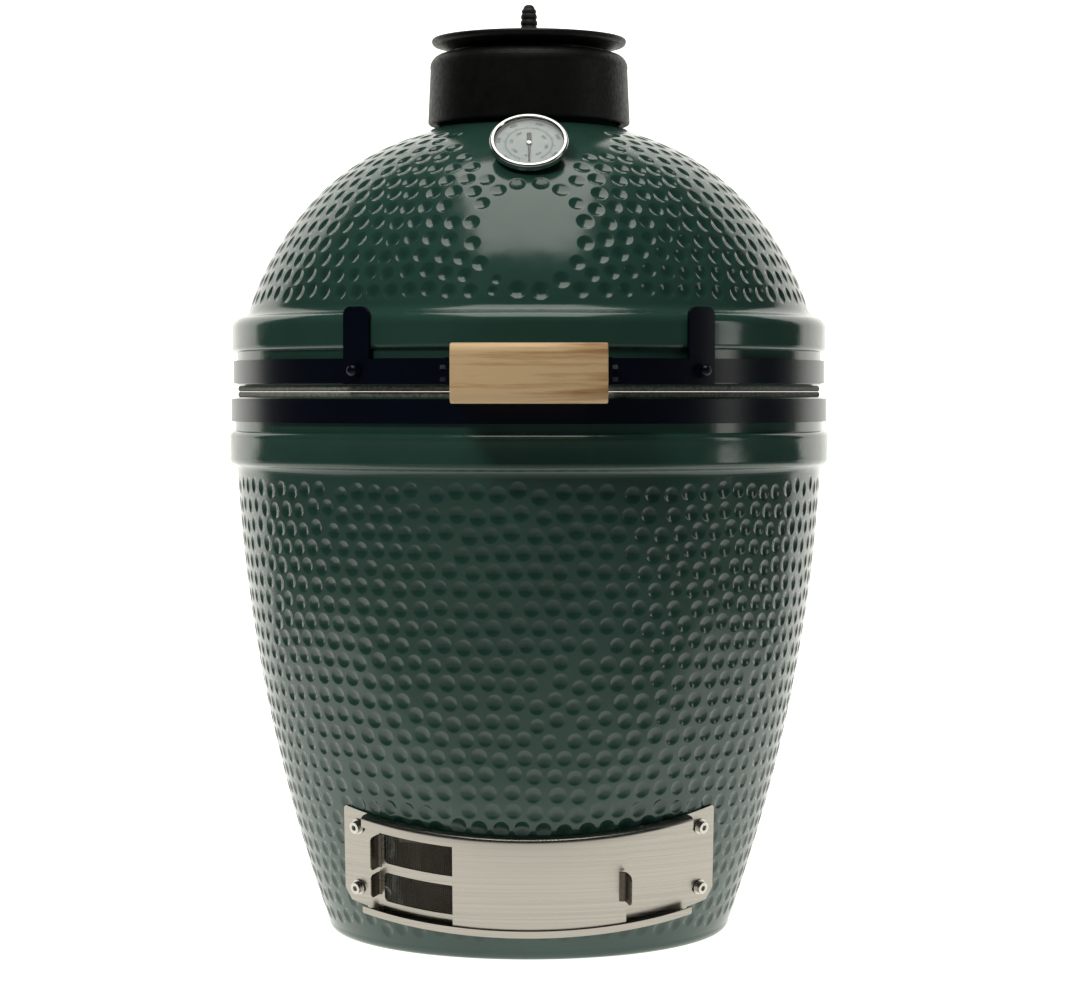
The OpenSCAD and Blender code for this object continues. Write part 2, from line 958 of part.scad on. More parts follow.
base_shell();
firebox();
fire_ring();
fire_grate();
cooking_grid();
base_gasket();
base_band();
vent_frame();
vent_bolts();
vent_washers();
vent_anchors();
vent_door();
vent_screen_door();
vent_mesh();
hinge_base_bracket();
hinge_base_bolts();
hinge_pin();
hinge_pin_nut();
hinge_springs();
hinge_dome_bracket();
hinge_dome_bolts();
dome_shell();
dome_gasket();
dome_band();
handle_bracket_left();
handle_bracket_right();
bracket_bolts();
handle_grip();
handle_bolts();
gauge_housing();
gauge_bezel();
gauge_dial();
gauge_glass();
gauge_needle();
gauge_stem();
gauge_nut();
gauge_clip();
chimney_gasket();
vent_collar();
cap_pivot_bolt();
cap_plate();
daisy_wheel();
cap_knob();
cap_knob_bolt();
cap_knob_nut();
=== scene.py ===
import json
import math

import bpy
import numpy as np
from mathutils import Euler, Matrix, Vector
from mathutils.geometry import delaunay_2d_cdt


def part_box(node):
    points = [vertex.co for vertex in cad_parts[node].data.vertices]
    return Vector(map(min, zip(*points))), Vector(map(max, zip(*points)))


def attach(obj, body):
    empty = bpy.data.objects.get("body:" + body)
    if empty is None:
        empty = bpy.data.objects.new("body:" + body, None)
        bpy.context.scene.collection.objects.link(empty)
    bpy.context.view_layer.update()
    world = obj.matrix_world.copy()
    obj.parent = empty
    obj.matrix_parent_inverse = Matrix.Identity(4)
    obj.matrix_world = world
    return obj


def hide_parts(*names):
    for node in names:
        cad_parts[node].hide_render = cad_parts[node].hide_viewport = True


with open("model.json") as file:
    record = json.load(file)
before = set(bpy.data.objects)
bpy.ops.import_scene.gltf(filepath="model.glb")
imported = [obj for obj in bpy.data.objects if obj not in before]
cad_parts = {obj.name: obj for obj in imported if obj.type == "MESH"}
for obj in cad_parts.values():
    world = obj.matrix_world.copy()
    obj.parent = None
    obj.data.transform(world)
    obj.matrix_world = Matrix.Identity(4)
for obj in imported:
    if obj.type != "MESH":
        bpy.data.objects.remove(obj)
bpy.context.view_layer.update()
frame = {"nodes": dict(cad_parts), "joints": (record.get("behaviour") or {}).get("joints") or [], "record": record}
scene = bpy.context.scene
nodes = frame["nodes"]
joints = {j["name"]: j for j in frame["joints"]}
MM = 0.001
TAU = 2 * math.pi
rng = np.random.default_rng(11)


# ---------------------------------------------------------------- materials


class Shader:
    """A material with one Principled shader and short ways to add nodes."""

    def __init__(self, name, **values):
        self.mat = bpy.data.materials.new(name)
        self.mat.use_nodes = True
        self.tree = self.mat.node_tree
        self.bsdf = self.tree.nodes["Principled BSDF"]
        self.set(**values)

    def set(self, **values):
        for key, value in values.items():
            socket = self.bsdf.inputs[key.replace("_", " ")]
            socket.default_value = (*value, 1.0) if isinstance(value, tuple) and len(value) == 3 else value

    def node(self, kind, links=None, **values):
        n = self.tree.nodes.new(kind)
        for key, value in values.items():
            setattr(n, key, value)
        for key, value in (links or {}).items():
            if isinstance(value, bpy.types.NodeSocket):
                self.tree.links.new(value, n.inputs[key])
            else:
                n.inputs[key].default_value = value
        return n

    def link(self, socket, name):
        self.tree.links.new(socket, self.bsdf.inputs[name])

    def coords(self, scale=(1, 1, 1)):
        place = self.node("ShaderNodeTexCoord").outputs["Object"]
        return self.node("ShaderNodeMapping", {"Vector": place, "Scale": scale}).outputs["Vector"]

    def noise(self, scale, detail=3.0, stretch=(1, 1, 1), roughness=0.5):
        links = {"Vector": self.coords(stretch), "Scale": scale, "Detail": detail, "Roughness": roughness}
        return self.node("ShaderNodeTexNoise", links).outputs["Fac"]

    def ramp(self, fac, stops):
        n = self.node("ShaderNodeValToRGB", {"Fac": fac})
        while len(n.color_ramp.elements) < len(stops):
            n.color_ramp.elements.new(0.5)
        for e, (at, colour) in zip(n.color_ramp.elements, stops):
            e.position = at
            e.color = (*colour, 1.0) if isinstance(colour, tuple) else (colour, colour, colour, 1.0)
        return n.outputs["Color"]

    def bump(self, height, distance, strength=1.0, below=None):
        links = {"Height": height, "Distance": distance, "Strength": strength}
        if below is not None:
            links["Normal"] = below
        return self.node("ShaderNodeBump", links).outputs["Normal"]


def glaze():
    s = Shader("green_glaze", Roughness=0.16, IOR=1.58)
    patchy = s.noise(14.0, 4.0)
    base = s.ramp(patchy, [(0.25, (0.0175, 0.052, 0.041)), (0.75, (0.0235, 0.067, 0.053))])
    pool = s.node("ShaderNodeAttribute", attribute_name="pool").outputs["Fac"]
    mix = s.node("ShaderNodeMix", data_type="RGBA")
    s.tree.links.new(pool, mix.inputs["Factor"])
    s.tree.links.new(base, mix.inputs["A"])
    mix.inputs["B"].default_value = (0.0095, 0.037, 0.030, 1)
    s.link(mix.outputs["Result"], "Base Color")
    s.link(s.ramp(s.noise(60.0, 2.0), [(0.3, 0.12), (0.8, 0.22)]), "Roughness")
    s.link(s.bump(s.noise(120.0, 2.0), 0.00012, 0.5), "Normal")
    return s.mat


def bisque():
    s = Shader("bisque", Roughness=0.9)
    s.link(s.ramp(s.noise(45.0, 6.0), [(0.3, (0.44, 0.35, 0.26)), (0.7, (0.60, 0.50, 0.39))]), "Base Color")
    s.link(s.bump(s.noise(500.0, 4.0), 0.0004, 0.8), "Normal")
    return s.mat


def cast_iron():
    s = Shader("cast_iron", Roughness=0.5, Specular_IOR_Level=0.3)
    black, worn = (0.0025, 0.0025, 0.0025), (0.006, 0.006, 0.0055)
    s.link(s.ramp(s.noise(120.0, 5.0), [(0.3, black), (0.75, worn)]), "Base Color")
    s.link(s.ramp(s.noise(300.0, 3.0), [(0.3, 0.40), (0.7, 0.58)]), "Roughness")
    coarse = s.bump(s.noise(260.0, 3.0), 0.0006, 0.55)
    s.link(s.bump(s.noise(900.0, 2.0), 0.0003, 0.45, coarse), "Normal")
    return s.mat


def black_steel():
    s = Shader("black_steel", Roughness=0.26, Specular_IOR_Level=0.3)
    dark, light = (0.0008, 0.0020, 0.0065), (0.0014, 0.0030, 0.0090)
    s.link(s.ramp(s.noise(30.0, 3.0), [(0.3, dark), (0.7, light)]), "Base Color")
    s.link(s.bump(s.noise(1500.0, 2.0), 0.0001, 0.35), "Normal")
    return s.mat


def brushed(name, colours, rough, stretch, metal=1.0):
    s = Shader(name, Metallic=metal)
    streak = s.noise(1.0, 3.0, stretch, 0.7)
    s.link(s.ramp(streak, [(0.3, colours[0]), (0.7, colours[1])]), "Base Color")
    s.link(s.ramp(streak, [(0.3, rough[0]), (0.7, rough[1])]), "Roughness")
    s.link(s.bump(streak, 0.00004, 0.35), "Normal")
    return s.mat


def felt():
    s = Shader("felt", Roughness=1.0)
    s.set(Sheen_Weight=0.3)
    dark, light = (0.14, 0.145, 0.13), (0.36, 0.37, 0.33)
    s.link(s.ramp(s.noise(420.0, 6.0), [(0.3, dark), (0.7, light)]), "Base Color")
    s.link(s.bump(s.noise(900.0, 5.0), 0.0008, 0.9), "Normal")
    return s.mat


def grip_wood():
    s = Shader("grip_wood", Roughness=0.5)
    grain = s.noise(1.0, 8.0, (9, 120, 170), 0.62)
    broad = s.noise(1.0, 3.0, (5, 22, 30), 0.5)
    both = s.node("ShaderNodeMath", {0: grain, 1: broad}, operation="ADD").outputs["Value"]
    half = s.node("ShaderNodeMath", {0: both, 1: 0.5}, operation="MULTIPLY").outputs["Value"]
    late, early, pale = (0.22, 0.085, 0.034), (0.52, 0.310, 0.145), (0.74, 0.510, 0.290)
    s.link(s.ramp(half, [(0.38, late), (0.46, early), (0.53, pale)]), "Base Color")
    s.link(s.bump(grain, 0.0002, 0.5), "Normal")
    return s.mat


def plain(name, low, high, rough, scale=200.0, bump=0.0001, **more):
    s = Shader(name, Roughness=rough, **more)
    s.link(s.ramp(s.noise(scale, 3.0), [(0.3, low), (0.7, high)]), "Base Color")
    s.link(s.bump(s.noise(scale * 4, 2.0), bump, 0.4), "Normal")
    return s.mat


def clear_glass():
    s = Shader("glass")
    s.tree.nodes.remove(s.bsdf)
    out = s.tree.nodes["Material Output"]
    tint_and_painted_shade = s.ramp(s.noise(40.0), [(0.3, (0.96, 0.98, 0.98)), (0.7, (0.99, 1.0, 1.0))])
    through = s.node("ShaderNodeBsdfTransparent", {"Color": tint_and_painted_shade})
    gloss = s.node("ShaderNodeBsdfGlossy", {"Roughness": 0.02})
    fresnel = s.node("ShaderNodeFresnel", {"IOR": 1.5})
    inner = s.node("ShaderNodeNewGeometry").outputs["Backfacing"]
    front = s.node("ShaderNodeMath", {0: 1.0, 1: inner}, operation="SUBTRACT").outputs[0]
    share = s.node("ShaderNodeMath", {0: front, 1: fresnel.outputs[0]}, operation="MULTIPLY").outputs[0]
    links = {0: share, 1: through.outputs[0], 2: gloss.outputs[0]}
    mix = s.node("ShaderNodeMixShader", links)
    s.tree.links.new(mix.outputs[0], out.inputs["Surface"])
    return s.mat


MATS = {
    "green_glaze": glaze(),
    "bisque": bisque(),
    "cast_iron": cast_iron(),
    "black_steel": black_steel(),
    "stainless": brushed("stainless", ((0.355, 0.33, 0.295), (0.45, 0.42, 0.38)),
                         (0.24, 0.34), (3, 3, 900)),
    # A darker copy of the stainless steel for the doors' finger tabs: painted shade.
    "tab_steel_painted_shade": brushed("tab_steel_painted_shade", ((0.045, 0.040, 0.034), (0.10, 0.09, 0.075)),
                         (0.30, 0.42), (500, 500, 500)),
    "bolt_steel": brushed("bolt_steel", ((0.50, 0.48, 0.44), (0.68, 0.66, 0.62)),
                          (0.22, 0.36), (500, 500, 500)),
    # A darker copy of the steel for the woven screen wires: painted shade.
    "mesh_steel": brushed("mesh_steel", ((0.10, 0.085, 0.07), (0.20, 0.175, 0.15)),
                          (0.45, 0.6), (700, 700, 700)),
    "felt": felt(),
    "grip_wood": grip_wood(),
    "bezel_chrome": brushed("bezel_chrome", ((0.55, 0.54, 0.51), (0.70, 0.69, 0.67)),
                            (0.12, 0.2), (90, 90, 90)),
    "dial_paint": plain("dial_paint", (0.37, 0.39, 0.39), (0.42, 0.44, 0.44), 0.55),
    "needle_paint": plain("needle_paint", (0.008, 0.01, 0.01), (0.016, 0.018, 0.018), 0.4),
    "housing_paint": plain("housing_paint", (0.003, 0.004, 0.008), (0.006, 0.007, 0.012), 0.35),
    "glass": clear_glass(),
    "brass": plain("brass", (0.50, 0.34, 0.12), (0.62, 0.45, 0.18), 0.35, Metallic=1.0),
    "knob_rubber": plain("knob_rubber", (0.008, 0.008, 0.008), (0.02, 0.02, 0.02), 0.6),
}


# ---------------------------------------------------------------- mesh helpers


def place(mesh, name, body, slot, replaces=(), materials=None):
    obj = bpy.data.objects.new(name, mesh)
    scene.collection.objects.link(obj)
    for key in materials or [slot]:
        mesh.materials.append(MATS[key])
    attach(obj, body)
    if replaces:
        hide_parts(*replaces)
    return obj


def from_data(name, verts, faces, body, slot, replaces=(), angle=35, matrix=None):
    """A piece from points in millimetres."""
    mesh = bpy.data.meshes.new(name)
    mesh.from_pydata([tuple(c * MM for c in v) for v in verts], [], [list(map(int, f)) for f in faces])
    if matrix is not None:
        mesh.transform(matrix)
    mesh.shade_smooth()
    mesh.set_sharp_from_angle(angle=math.radians(angle))
    return place(mesh, name, body, slot, replaces)


def arc(p, q, s, n=12):
    """Points of an arc from p to q, without q; its middle stands s to the right of the chord."""
    p, q = np.array(p, float), np.array(q, float)
    c = np.linalg.norm(q - p)
    u = (q - p) / c
    side = np.array([u[1], -u[0]])
    r = (c * c / 4 + s * s) / (2 * s)
    centre = (p + q) / 2 + side * (s - r)
    h = math.asin(c / (2 * r))
    steps = [h * (2 * i / n - 1) for i in range(n)]
    return [tuple(centre + r * (side * math.cos(a) + u * math.sin(a))) for a in steps]


def around(r, z, th):
    """Points at radius r and height z, at angles th from -Y towards +X, in mm."""
    th = np.asarray(th, float)
    r, z = np.broadcast_to(r, th.shape), np.broadcast_to(z, th.shape)
    return np.stack([r * np.sin(th), -r * np.cos(th), z], 1)


class Build:
    """A mesh under way: points, normals and faces that name both."""

    def __init__(self):
        self.co, self.nr, self.faces, self.fnr, self.fmat = [], [], [], [], []
        self.nco = self.nnr = 0

    def points(self, co):
        self.co.append(np.asarray(co, float))
        self.nco += len(co)
        return np.arange(self.nco - len(co), self.nco)

    def normals(self, nr):
        nr = np.asarray(nr, float)
        self.nr.append(nr / np.linalg.norm(nr, axis=1)[:, None])
        self.nnr += len(nr)
        return np.arange(self.nnr - len(nr), self.nnr)

    def add(self, faces, fnr, mat=0):
        self.faces.extend(faces)
        self.fnr.extend(fnr)
        self.fmat.extend([mat] * len(faces))

    def lathe(self, profile, n=192, first=None, last=None, mat=0, crease=30):
        """A strip of the profile turned round Z; ends may be rings of points that exist."""
        kept = [q for k, q in enumerate(profile) if not k or math.dist(q, profile[k - 1]) > 1e-6]
        p = np.array(kept, float)
        th = -math.pi + TAU * np.arange(n) / n
        t = np.diff(p, axis=0)
        seg = np.stack([t[:, 1], -t[:, 0]], 1) / np.linalg.norm(t, axis=1)[:, None]
        rings = []
        for k, (r, z) in enumerate(p):
            if k == 0 and first is not None:
                rings.append(first)
            elif k == len(p) - 1 and last is not None:
                rings.append(last)
            elif r < 1e-6:
                rings.append(np.repeat(self.points([(0, 0, z)]), n))
            else:
                rings.append(self.points(around(r, z, th)))
        cut = math.cos(math.radians(crease))

        def normal(k, s):
            other = k - 1 if s == k else k
            v = seg[s]
            if 0 <= other < len(seg) and seg[s] @ seg[other] > cut:
                v = seg[s] + seg[other]
            return self.normals(around(v[0], v[1], th))

        nxt = (np.arange(n) + 1) % n
        for s in range(len(seg)):
            a, b, na, nb = rings[s], rings[s + 1], normal(s, s), normal(s + 1, s)
            faces, fnr = [], []
            for i in range(n):
                j = nxt[i]
                f = [(a[i], na[i]), (a[j], na[j]), (b[j], nb[j]), (b[i], nb[i])]
                f = [x for k, x in enumerate(f) if x[0] != f[k - 1][0]]
                faces.append([x[0] for x in f])
                fnr.append([x[1] for x in f])
            self.add(faces, fnr, mat)
        return rings[0], rings[-1]

    def finish(self, name, body, slot, replaces=(), materials=None, pool=None):
        co, nr = np.concatenate(self.co) * MM, np.concatenate(self.nr)
        mesh = bpy.data.meshes.new(name)
        mesh.from_pydata(co.tolist(), [], [list(map(int, f)) for f in self.faces])
        mesh.shade_smooth()
        mesh.polygons.foreach_set("material_index", self.fmat)
        loops = nr[np.concatenate([np.asarray(f, int) for f in self.fnr])]
        mesh.normals_split_custom_set(loops.tolist())
        if pool is not None:
            layer = mesh.attributes.new("pool", "FLOAT", "POINT")
            layer.data.foreach_set("value", pool.astype(np.float32))
        return place(mesh, name, body, slot, replaces, materials)


class Surface:
    """A profile turned round Z, with v in mm along it."""

    def __init__(self, points):
        self.p = np.array(points, float)
        self.v = np.r_[0, np.cumsum(np.linalg.norm(np.diff(self.p, axis=0), axis=1))]
        t = np.gradient(self.p, self.v, axis=0)
        t /= np.linalg.norm(t, axis=1)[:, None]
        self.n = np.stack([t[:, 1], -t[:, 0]], 1)
        self.length = self.v[-1]

    def at(self, v):
        cols = (self.p[:, 0], self.p[:, 1], self.n[:, 0], self.n[:, 1])
        return [np.interp(v, self.v, c) for c in cols]

    def v_at_z(self, z):
        up = self.p[-1, 1] > self.p[0, 1]
        zs, vs = (self.p[:, 1], self.v) if up else (self.p[::-1, 1], self.v[::-1])
        return float(np.interp(z, zs, vs))

    def points(self, th, v, sink=0.0):
        r, z, nr, nz = self.at(v)
        return around(r - sink * nr, z - sink * nz, th)

    def normals(self, th, v):
        _, _, nr, nz = self.at(v)
        return around(nr, nz, th)


def spread_dimples(surf, v0, v1, pitch, row, fixed=((), ()), free=None):
    """Centres (angle, v) of hand-pressed dimples: staggered rows, shaken, then pushed apart."""
    th, v = [], []
    rows = max(1, int(round((v1 - v0) / row)))
    for j in range(rows):
        vj = v0 + (j + 0.5) * (v1 - v0) / rows
        r = surf.at(vj)[0]
        n = int(round(TAU * r / pitch))
        phase = rng.random()
        th += [TAU * (i + phase) / n - math.pi + rng.normal(0, 2.6) / r for i in range(n)]
        v += [vj + rng.normal(0, 2.4) for _ in range(n)]
    th, v = np.array(th), np.array(v)
    if free is not None:
        ok = free(th, v)
        th, v = th[ok], v[ok]
    still = len(fixed[0])
    th, v = np.r_[fixed[0], th], np.r_[fixed[1], v]
    for _ in range(12):
        p = surf.points(th, v)
        r, _, nr, nz = surf.at(v)
        along = around(-nz, nr, th)
        side = np.stack([np.cos(th), np.sin(th), 0 * th], 1)
        for i0 in range(0, len(p), 400):
            i1 = min(i0 + 400, len(p))
            d = p[i0:i1, None] - p[None]
            far = np.linalg.norm(d, axis=2)
            far[np.arange(i1 - i0), np.arange(i0, i1)] = 99
            push = np.clip(pitch * 0.97 - far, 0, None) / np.maximum(far, 1e-3) * 0.25
            move = (d * push[..., None]).sum(1)
            move[:max(0, still - i0)] = 0
            th[i0:i1] += (move * side[i0:i1]).sum(1) / r[i0:i1]
            v[i0:i1] += (move * along[i0:i1]).sum(1)
        v[still:] = np.clip(v[still:], max(v0, 7.8), min(v1, surf.length - 7.8))
    th = (th + math.pi) % TAU - math.pi
    return th, v


RINGS = (0.866, 1.0, 1.118)
SIDES = 12


def skin(build, surf, v0, v1, low, high, dimples, hole=None, fill=(), mat=0, depth=1.5):
    """The surface between two rings, pressed with dimples (angle, v, radius), round an optional hole."""
    r0 = 200.0
    uv, ids, owner, edges = [], [], [], []
    n = len(low)
    th_ring = -math.pi + TAU * np.arange(n) / n
    nrm = {}

    def put(th, v, vid, own, shift):
        uv.append((th * r0 + shift, v))
        ids.append(vid)
        owner.append(own)
        return len(uv) - 1

    def normal_of(vid, vec):
        nrm[vid] = vec

    for ring, v in ((low, v0), (high, v1)):
        nn = surf.normals(th_ring, np.full(n, v))
        for i in range(n):
            normal_of(ring[i], nn[i])
            for shift in (-TAU * r0, 0, TAU * r0):
                if abs(th_ring[i] * r0 + shift) < math.pi * r0 + 62:
                    put(th_ring[i], v, ring[i], -1, shift)
    pool = []
    for d, (th, v, rad) in enumerate(dimples):
        r, _, nr, nz = (float(x) for x in surf.at(v))
        loop_before = None
        middle = build.points(surf.points(np.array([th]), np.array([v]), depth * rad / 6.5))
        normal_of(middle[0], surf.normals(np.array([th]), np.array([v]))[0])
        pool.append((middle, 1.0))
        for k, f in enumerate(RINGS):
            a = TAU * (np.arange(SIDES) + 0.5 * k) / SIDES
            tt, vv = th + rad * f * np.cos(a) / r, v + rad * f * np.sin(a)
            x = 1 - f * f
            w = 0.25
            deep = depth * rad / 6.5
            sink = deep * (x if x >= w else (x + w) ** 2 / (4 * w) if x > -w else 0.0)
            slope = deep * (1 if x >= w else (x + w) / (2 * w) if x > -w else 0.0) * 2 * f / rad
            co = build.points(surf.points(tt, vv, sink))
            base = surf.normals(tt, vv)
            side = np.stack([np.cos(tt), np.sin(tt), 0 * tt], 1)
            _, _, nrr, nzz = surf.at(vv)
            along = around(-nzz, nrr, tt)
            vec = base - slope * (np.cos(a)[:, None] * side + np.sin(a)[:, None] * along)
            for i in range(SIDES):
                normal_of(co[i], vec[i])
            pool.append((co, sink / deep))
            ring = list(co)
            if loop_before is None:
                faces = [[middle[0], ring[i], ring[(i + 1) % SIDES]] for i in range(SIDES)]
            else:
                faces = []
                for i in range(SIDES):
                    j = (i + 1) % SIDES
                    faces.append([loop_before[i], ring[i], loop_before[j]])
                    faces.append([loop_before[j], ring[i], ring[j]])
            build.add(faces, faces, mat)
            loop_before = ring
        for shift in (-TAU * r0, 0, TAU * r0):
            if abs(th * r0 + shift) < math.pi * r0 + 50:
                at = [put(tt[i], vv[i], ring[i], d, shift) for i in range(SIDES)]
                edges += [(at[i], at[(i + 1) % SIDES]) for i in range(SIDES)]
    for th, v in fill:
        vid = build.points(surf.points(np.array([th]), np.array([v])))[0]
        normal_of(vid, surf.normals(np.array([th]), np.array([v]))[0])
        for shift in (-TAU * r0, 0, TAU * r0):
            if abs(th * r0 + shift) < math.pi * r0 + 50:
                put(th, v, vid, -1, shift)
    rim = None
    if hole is not None:
        tt, vv = hole
        rim = build.points(surf.points(tt, vv))
        nn = surf.normals(tt, vv)
        for i, vid in enumerate(rim):
            normal_of(vid, nn[i])
        at = [put(tt[i], vv[i], rim[i], -2, 0) for i in range(len(tt))]
        edges += [(at[i], at[(i + 1) % len(at)]) for i in range(len(at))]
    out = delaunay_2d_cdt([Vector(p) for p in uv], edges, [], 0, 1e-5)
    source = [o[0] for o in out[3]]
    pts = np.array([tuple(p) for p in out[0]])
    own = np.array(owner)
    tris = []
    for f in out[2]:
        if len(f) != 3:
            continue
        c = pts[list(f)]
        area = (c[1, 0] - c[0, 0]) * (c[2, 1] - c[0, 1]) - (c[2, 0] - c[0, 0]) * (c[1, 1] - c[0, 1])
        mid = c.mean(0)
        if abs(area) < 1e-7 or not -math.pi * r0 <= mid[0] < math.pi * r0:
            continue
        if np.ptp(c[:, 1]) < 1e-3 or np.ptp(c[:, 0]) > 60:
            continue
        o = [own[source[k]] for k in f]
        if o[0] == o[1] == o[2] and o[0] >= 0:
            continue
        if hole is not None and inside(mid, np.stack([hole[0] * r0, hole[1]], 1)):
            continue
        g = [ids[source[k]] for k in f]
        if len(set(g)) < 3:
            continue
        tris.append(g if area > 0 else g[::-1])
    build.add(tris, tris, mat)
    return nrm, pool, rim


def inside(p, poly):
    x, y = p
    x0, y0 = poly[:, 0], poly[:, 1]
    x1, y1 = np.roll(x0, -1), np.roll(y0, -1)
    cross = (y0 > y) != (y1 > y)
    with np.errstate(divide="ignore", invalid="ignore"):
        at = (x1 - x0) * (y - y0) / (y1 - y0) + x0
    return bool((cross & (x < at)).sum() % 2)


class Shell(Build):
    """A build whose skins name one normal per point, and whose lathe strips name their own."""

    def __init__(self):
        super().__init__()
        self.point_normals, self.pools = {}, []

    def skin(self, *args, **more):
        start = len(self.fnr)
        nrm, pool, rim = skin(self, *args, **more)
        keys = list(nrm)
        new = self.normals([nrm[k] for k in keys])
        table = dict(zip(keys, new))
        self.fnr[start:] = [[table[v] for v in f] for f in self.fnr[start:]]
        self.pools += pool
        return rim

    def pool_values(self):
        values = np.zeros(self.nco)
        for ids, value in self.pools:
            values[ids] = value
        return values


# ---------------------------------------------------------------- base shell

lo, hi = (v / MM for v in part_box("base_shell"))
RING_R, RIM_Z = hi.x, hi.z
FOOT_R = 149.0
FLOOR_Z, BAND_SEAT = 26.0, RING_R - 4
MOUTH = BAND_SEAT - 20
PORT_A, PORT_W, PORT_Z = math.radians(-17), 96.0, (36.0, 88.0)

wall_foot, wall_top = (FOOT_R + 7.4, 7.0), (RING_R - 6.1, RIM_Z - 57)
step_top = (wall_top[0] + 3.1, wall_top[1] + 5.3)
inner_top, inner_foot = (MOUTH, RIM_Z - 9), (FOOT_R - 1, FLOOR_Z + 22)


def port_edge(surf, n_side=10, n_flat=18):
    """The port's outline on a surface, as angles and v, starting at the lower left."""
    v_low, v_high = surf.v_at_z(PORT_Z[0]), surf.v_at_z(PORT_Z[1])

    def half(v):
        return np.arcsin(PORT_W / 2 / surf.at(v)[0])

    s, f = np.arange(n_side) / n_side, np.arange(n_flat) / n_flat
    rise = v_low + s * (v_high - v_low)
    fall = v_high + s * (v_low - v_high)
    th = [(2 * f - 1) * half(v_low), half(rise), (1 - 2 * f) * half(v_high), -half(fall)]
    v = [np.full(n_flat, v_low), rise, np.full(n_flat, v_high), fall]
    return np.concatenate(th) + PORT_A, np.concatenate(v)


def near_port(th, r, z, margin):
    x = r * math.sin(th - PORT_A)
    front = math.cos(th - PORT_A) > 0
    return front and abs(x) < PORT_W / 2 + margin and PORT_Z[0] - margin < z < PORT_Z[1] + margin


def base_shell():
    b = Shell()
    outer = Surface(arc(wall_foot, wall_top, 12.8, 90) + [wall_top])
    inner = Surface(arc(inner_top, inner_foot, -12.3, 60) + arc(inner_foot, (FOOT_R - 32, FLOOR_Z), -7, 20)
                    + [(FOOT_R - 32, FLOOR_Z)])
    _, low = b.lathe([(0, 0), (60, 0), (FOOT_R, 0)] + arc((FOOT_R, 0), wall_foot, 2.2, 6)[1:] + [wall_foot])
    upper = arc(wall_top, step_top, -0.8, 5) + arc(step_top, (RING_R, RIM_Z - 45.5), 1.2, 5)
    upper += [(RING_R, RIM_Z - 45.5), (RING_R, RIM_Z - 44)]
    upper += arc((RING_R, RIM_Z - 31.5), (BAND_SEAT, RIM_Z - 25.5), 1.6, 8)
    upper += [(BAND_SEAT, RIM_Z - 25.5), (BAND_SEAT, RIM_Z - 1.5), (BAND_SEAT - 1.5, RIM_Z)]
    high, rim = b.lathe(upper)
    _, mouth = b.lathe([(BAND_SEAT - 1.5, RIM_Z), (MOUTH + 1.5, RIM_Z), (MOUTH, RIM_Z - 1.5), inner_top],
                       first=rim, mat=1)
    floor, _ = b.lathe([(FOOT_R - 32, FLOOR_Z), (60, FLOOR_Z), (0, FLOOR_Z)], mat=1)

    th, v = spread_dimples(outer, 9, outer.length - 5, 15.7, 13.8)
    p = outer.points(th, v)
    r, z, _, _ = outer.at(v)
    rad = np.minimum(rng.uniform(5.7, 6.6, len(th)), (nearest(p) / 2 - 0.3) / RINGS[-1])
    keep = [not near_port(t, rr, zz, 9) for t, rr, zz in zip(th, r, z)]
    dim = [(t, vv, ra) for t, vv, ra, k in zip(th, v, rad, keep) if k and ra > 3.4]
    far = [(t, vv) for t, vv, rr, zz, k in zip(th, v, r, z, keep) if not k and not near_port(t, rr, zz, 3)]
    rim_out = b.skin(outer, 0.0, outer.length, low, high, dim, hole=port_edge(outer), fill=far)

    it, iv = [], []
    for vv in np.arange(14, inner.length - 8, 16):
        for k in range(60):
            it.append(-math.pi + TAU * (k + 0.37) / 60 + rng.normal(0, 0.01))
            iv.append(vv + rng.normal(0, 1.2))
    ir, iz, _, _ = inner.at(np.array(iv))
    grid = [(t, vv) for t, vv, rr, zz in zip(it, iv, ir, iz) if not near_port(t, rr, zz, 5)]
    rim_in = b.skin(inner, 0.0, inner.length, mouth, floor, [], hole=port_edge(inner), fill=grid, mat=1)
    n = len(rim_out)
    a, c = np.concatenate(b.co)[rim_out], np.concatenate(b.co)[rim_in]
    for i in range(n):
        j = (i + 1) % n
        nn = np.cross(a[j] - a[i], c[i] - a[i])
        k = b.normals([nn])[0]
        b.add([[rim_out[j], rim_out[i], rim_in[i], rim_in[j]]], [[k] * 4], 1)
    obj = b.finish("base_shell_glazed", "base", "green_glaze", ["base_shell"], ["green_glaze", "bisque"],
                   b.pool_values())
    return obj


def nearest(p):
    gap = np.full(len(p), 99.0)
    for i0 in range(0, len(p), 400):
        d = np.linalg.norm(p[i0:i0 + 400, None] - p[None], axis=2)
        d[d < 1e-6] = 99
        gap[i0:i0 + 400] = d.min(1)
    return gap


# ---------------------------------------------------------------- dome shell

lo, hi = (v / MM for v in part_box("dome_shell"))
DOME_Z, CHIMNEY_Z = lo.z, hi.z
SEAT_R, DOME_RING = RING_R - 5.7, RING_R - 1.9
shoulder, waist, crown, neck = (DOME_RING - 13.9, DOME_Z + 60), (172.7, 559.6), (92.3, 614.0), (74.6, 621.3)
CHIMNEY_R, BORE_R = 67.5, 50.0


def joint_frame(name):
    """A joint's place and axis, in mm, as a matrix with Z along the axis and X along world X."""
    j = joints[name]
    z = Vector(j["axis"]).normalized()
    x = Vector((1, 0, 0))
    y = z.cross(x)
    m = Matrix((x, y, z)).transposed().to_4x4()
    return Matrix.Translation(Vector(j["pos_m"])) @ m


GAUGE = joint_frame("needle_turn")
VENT = joint_frame("solid_door_slide")


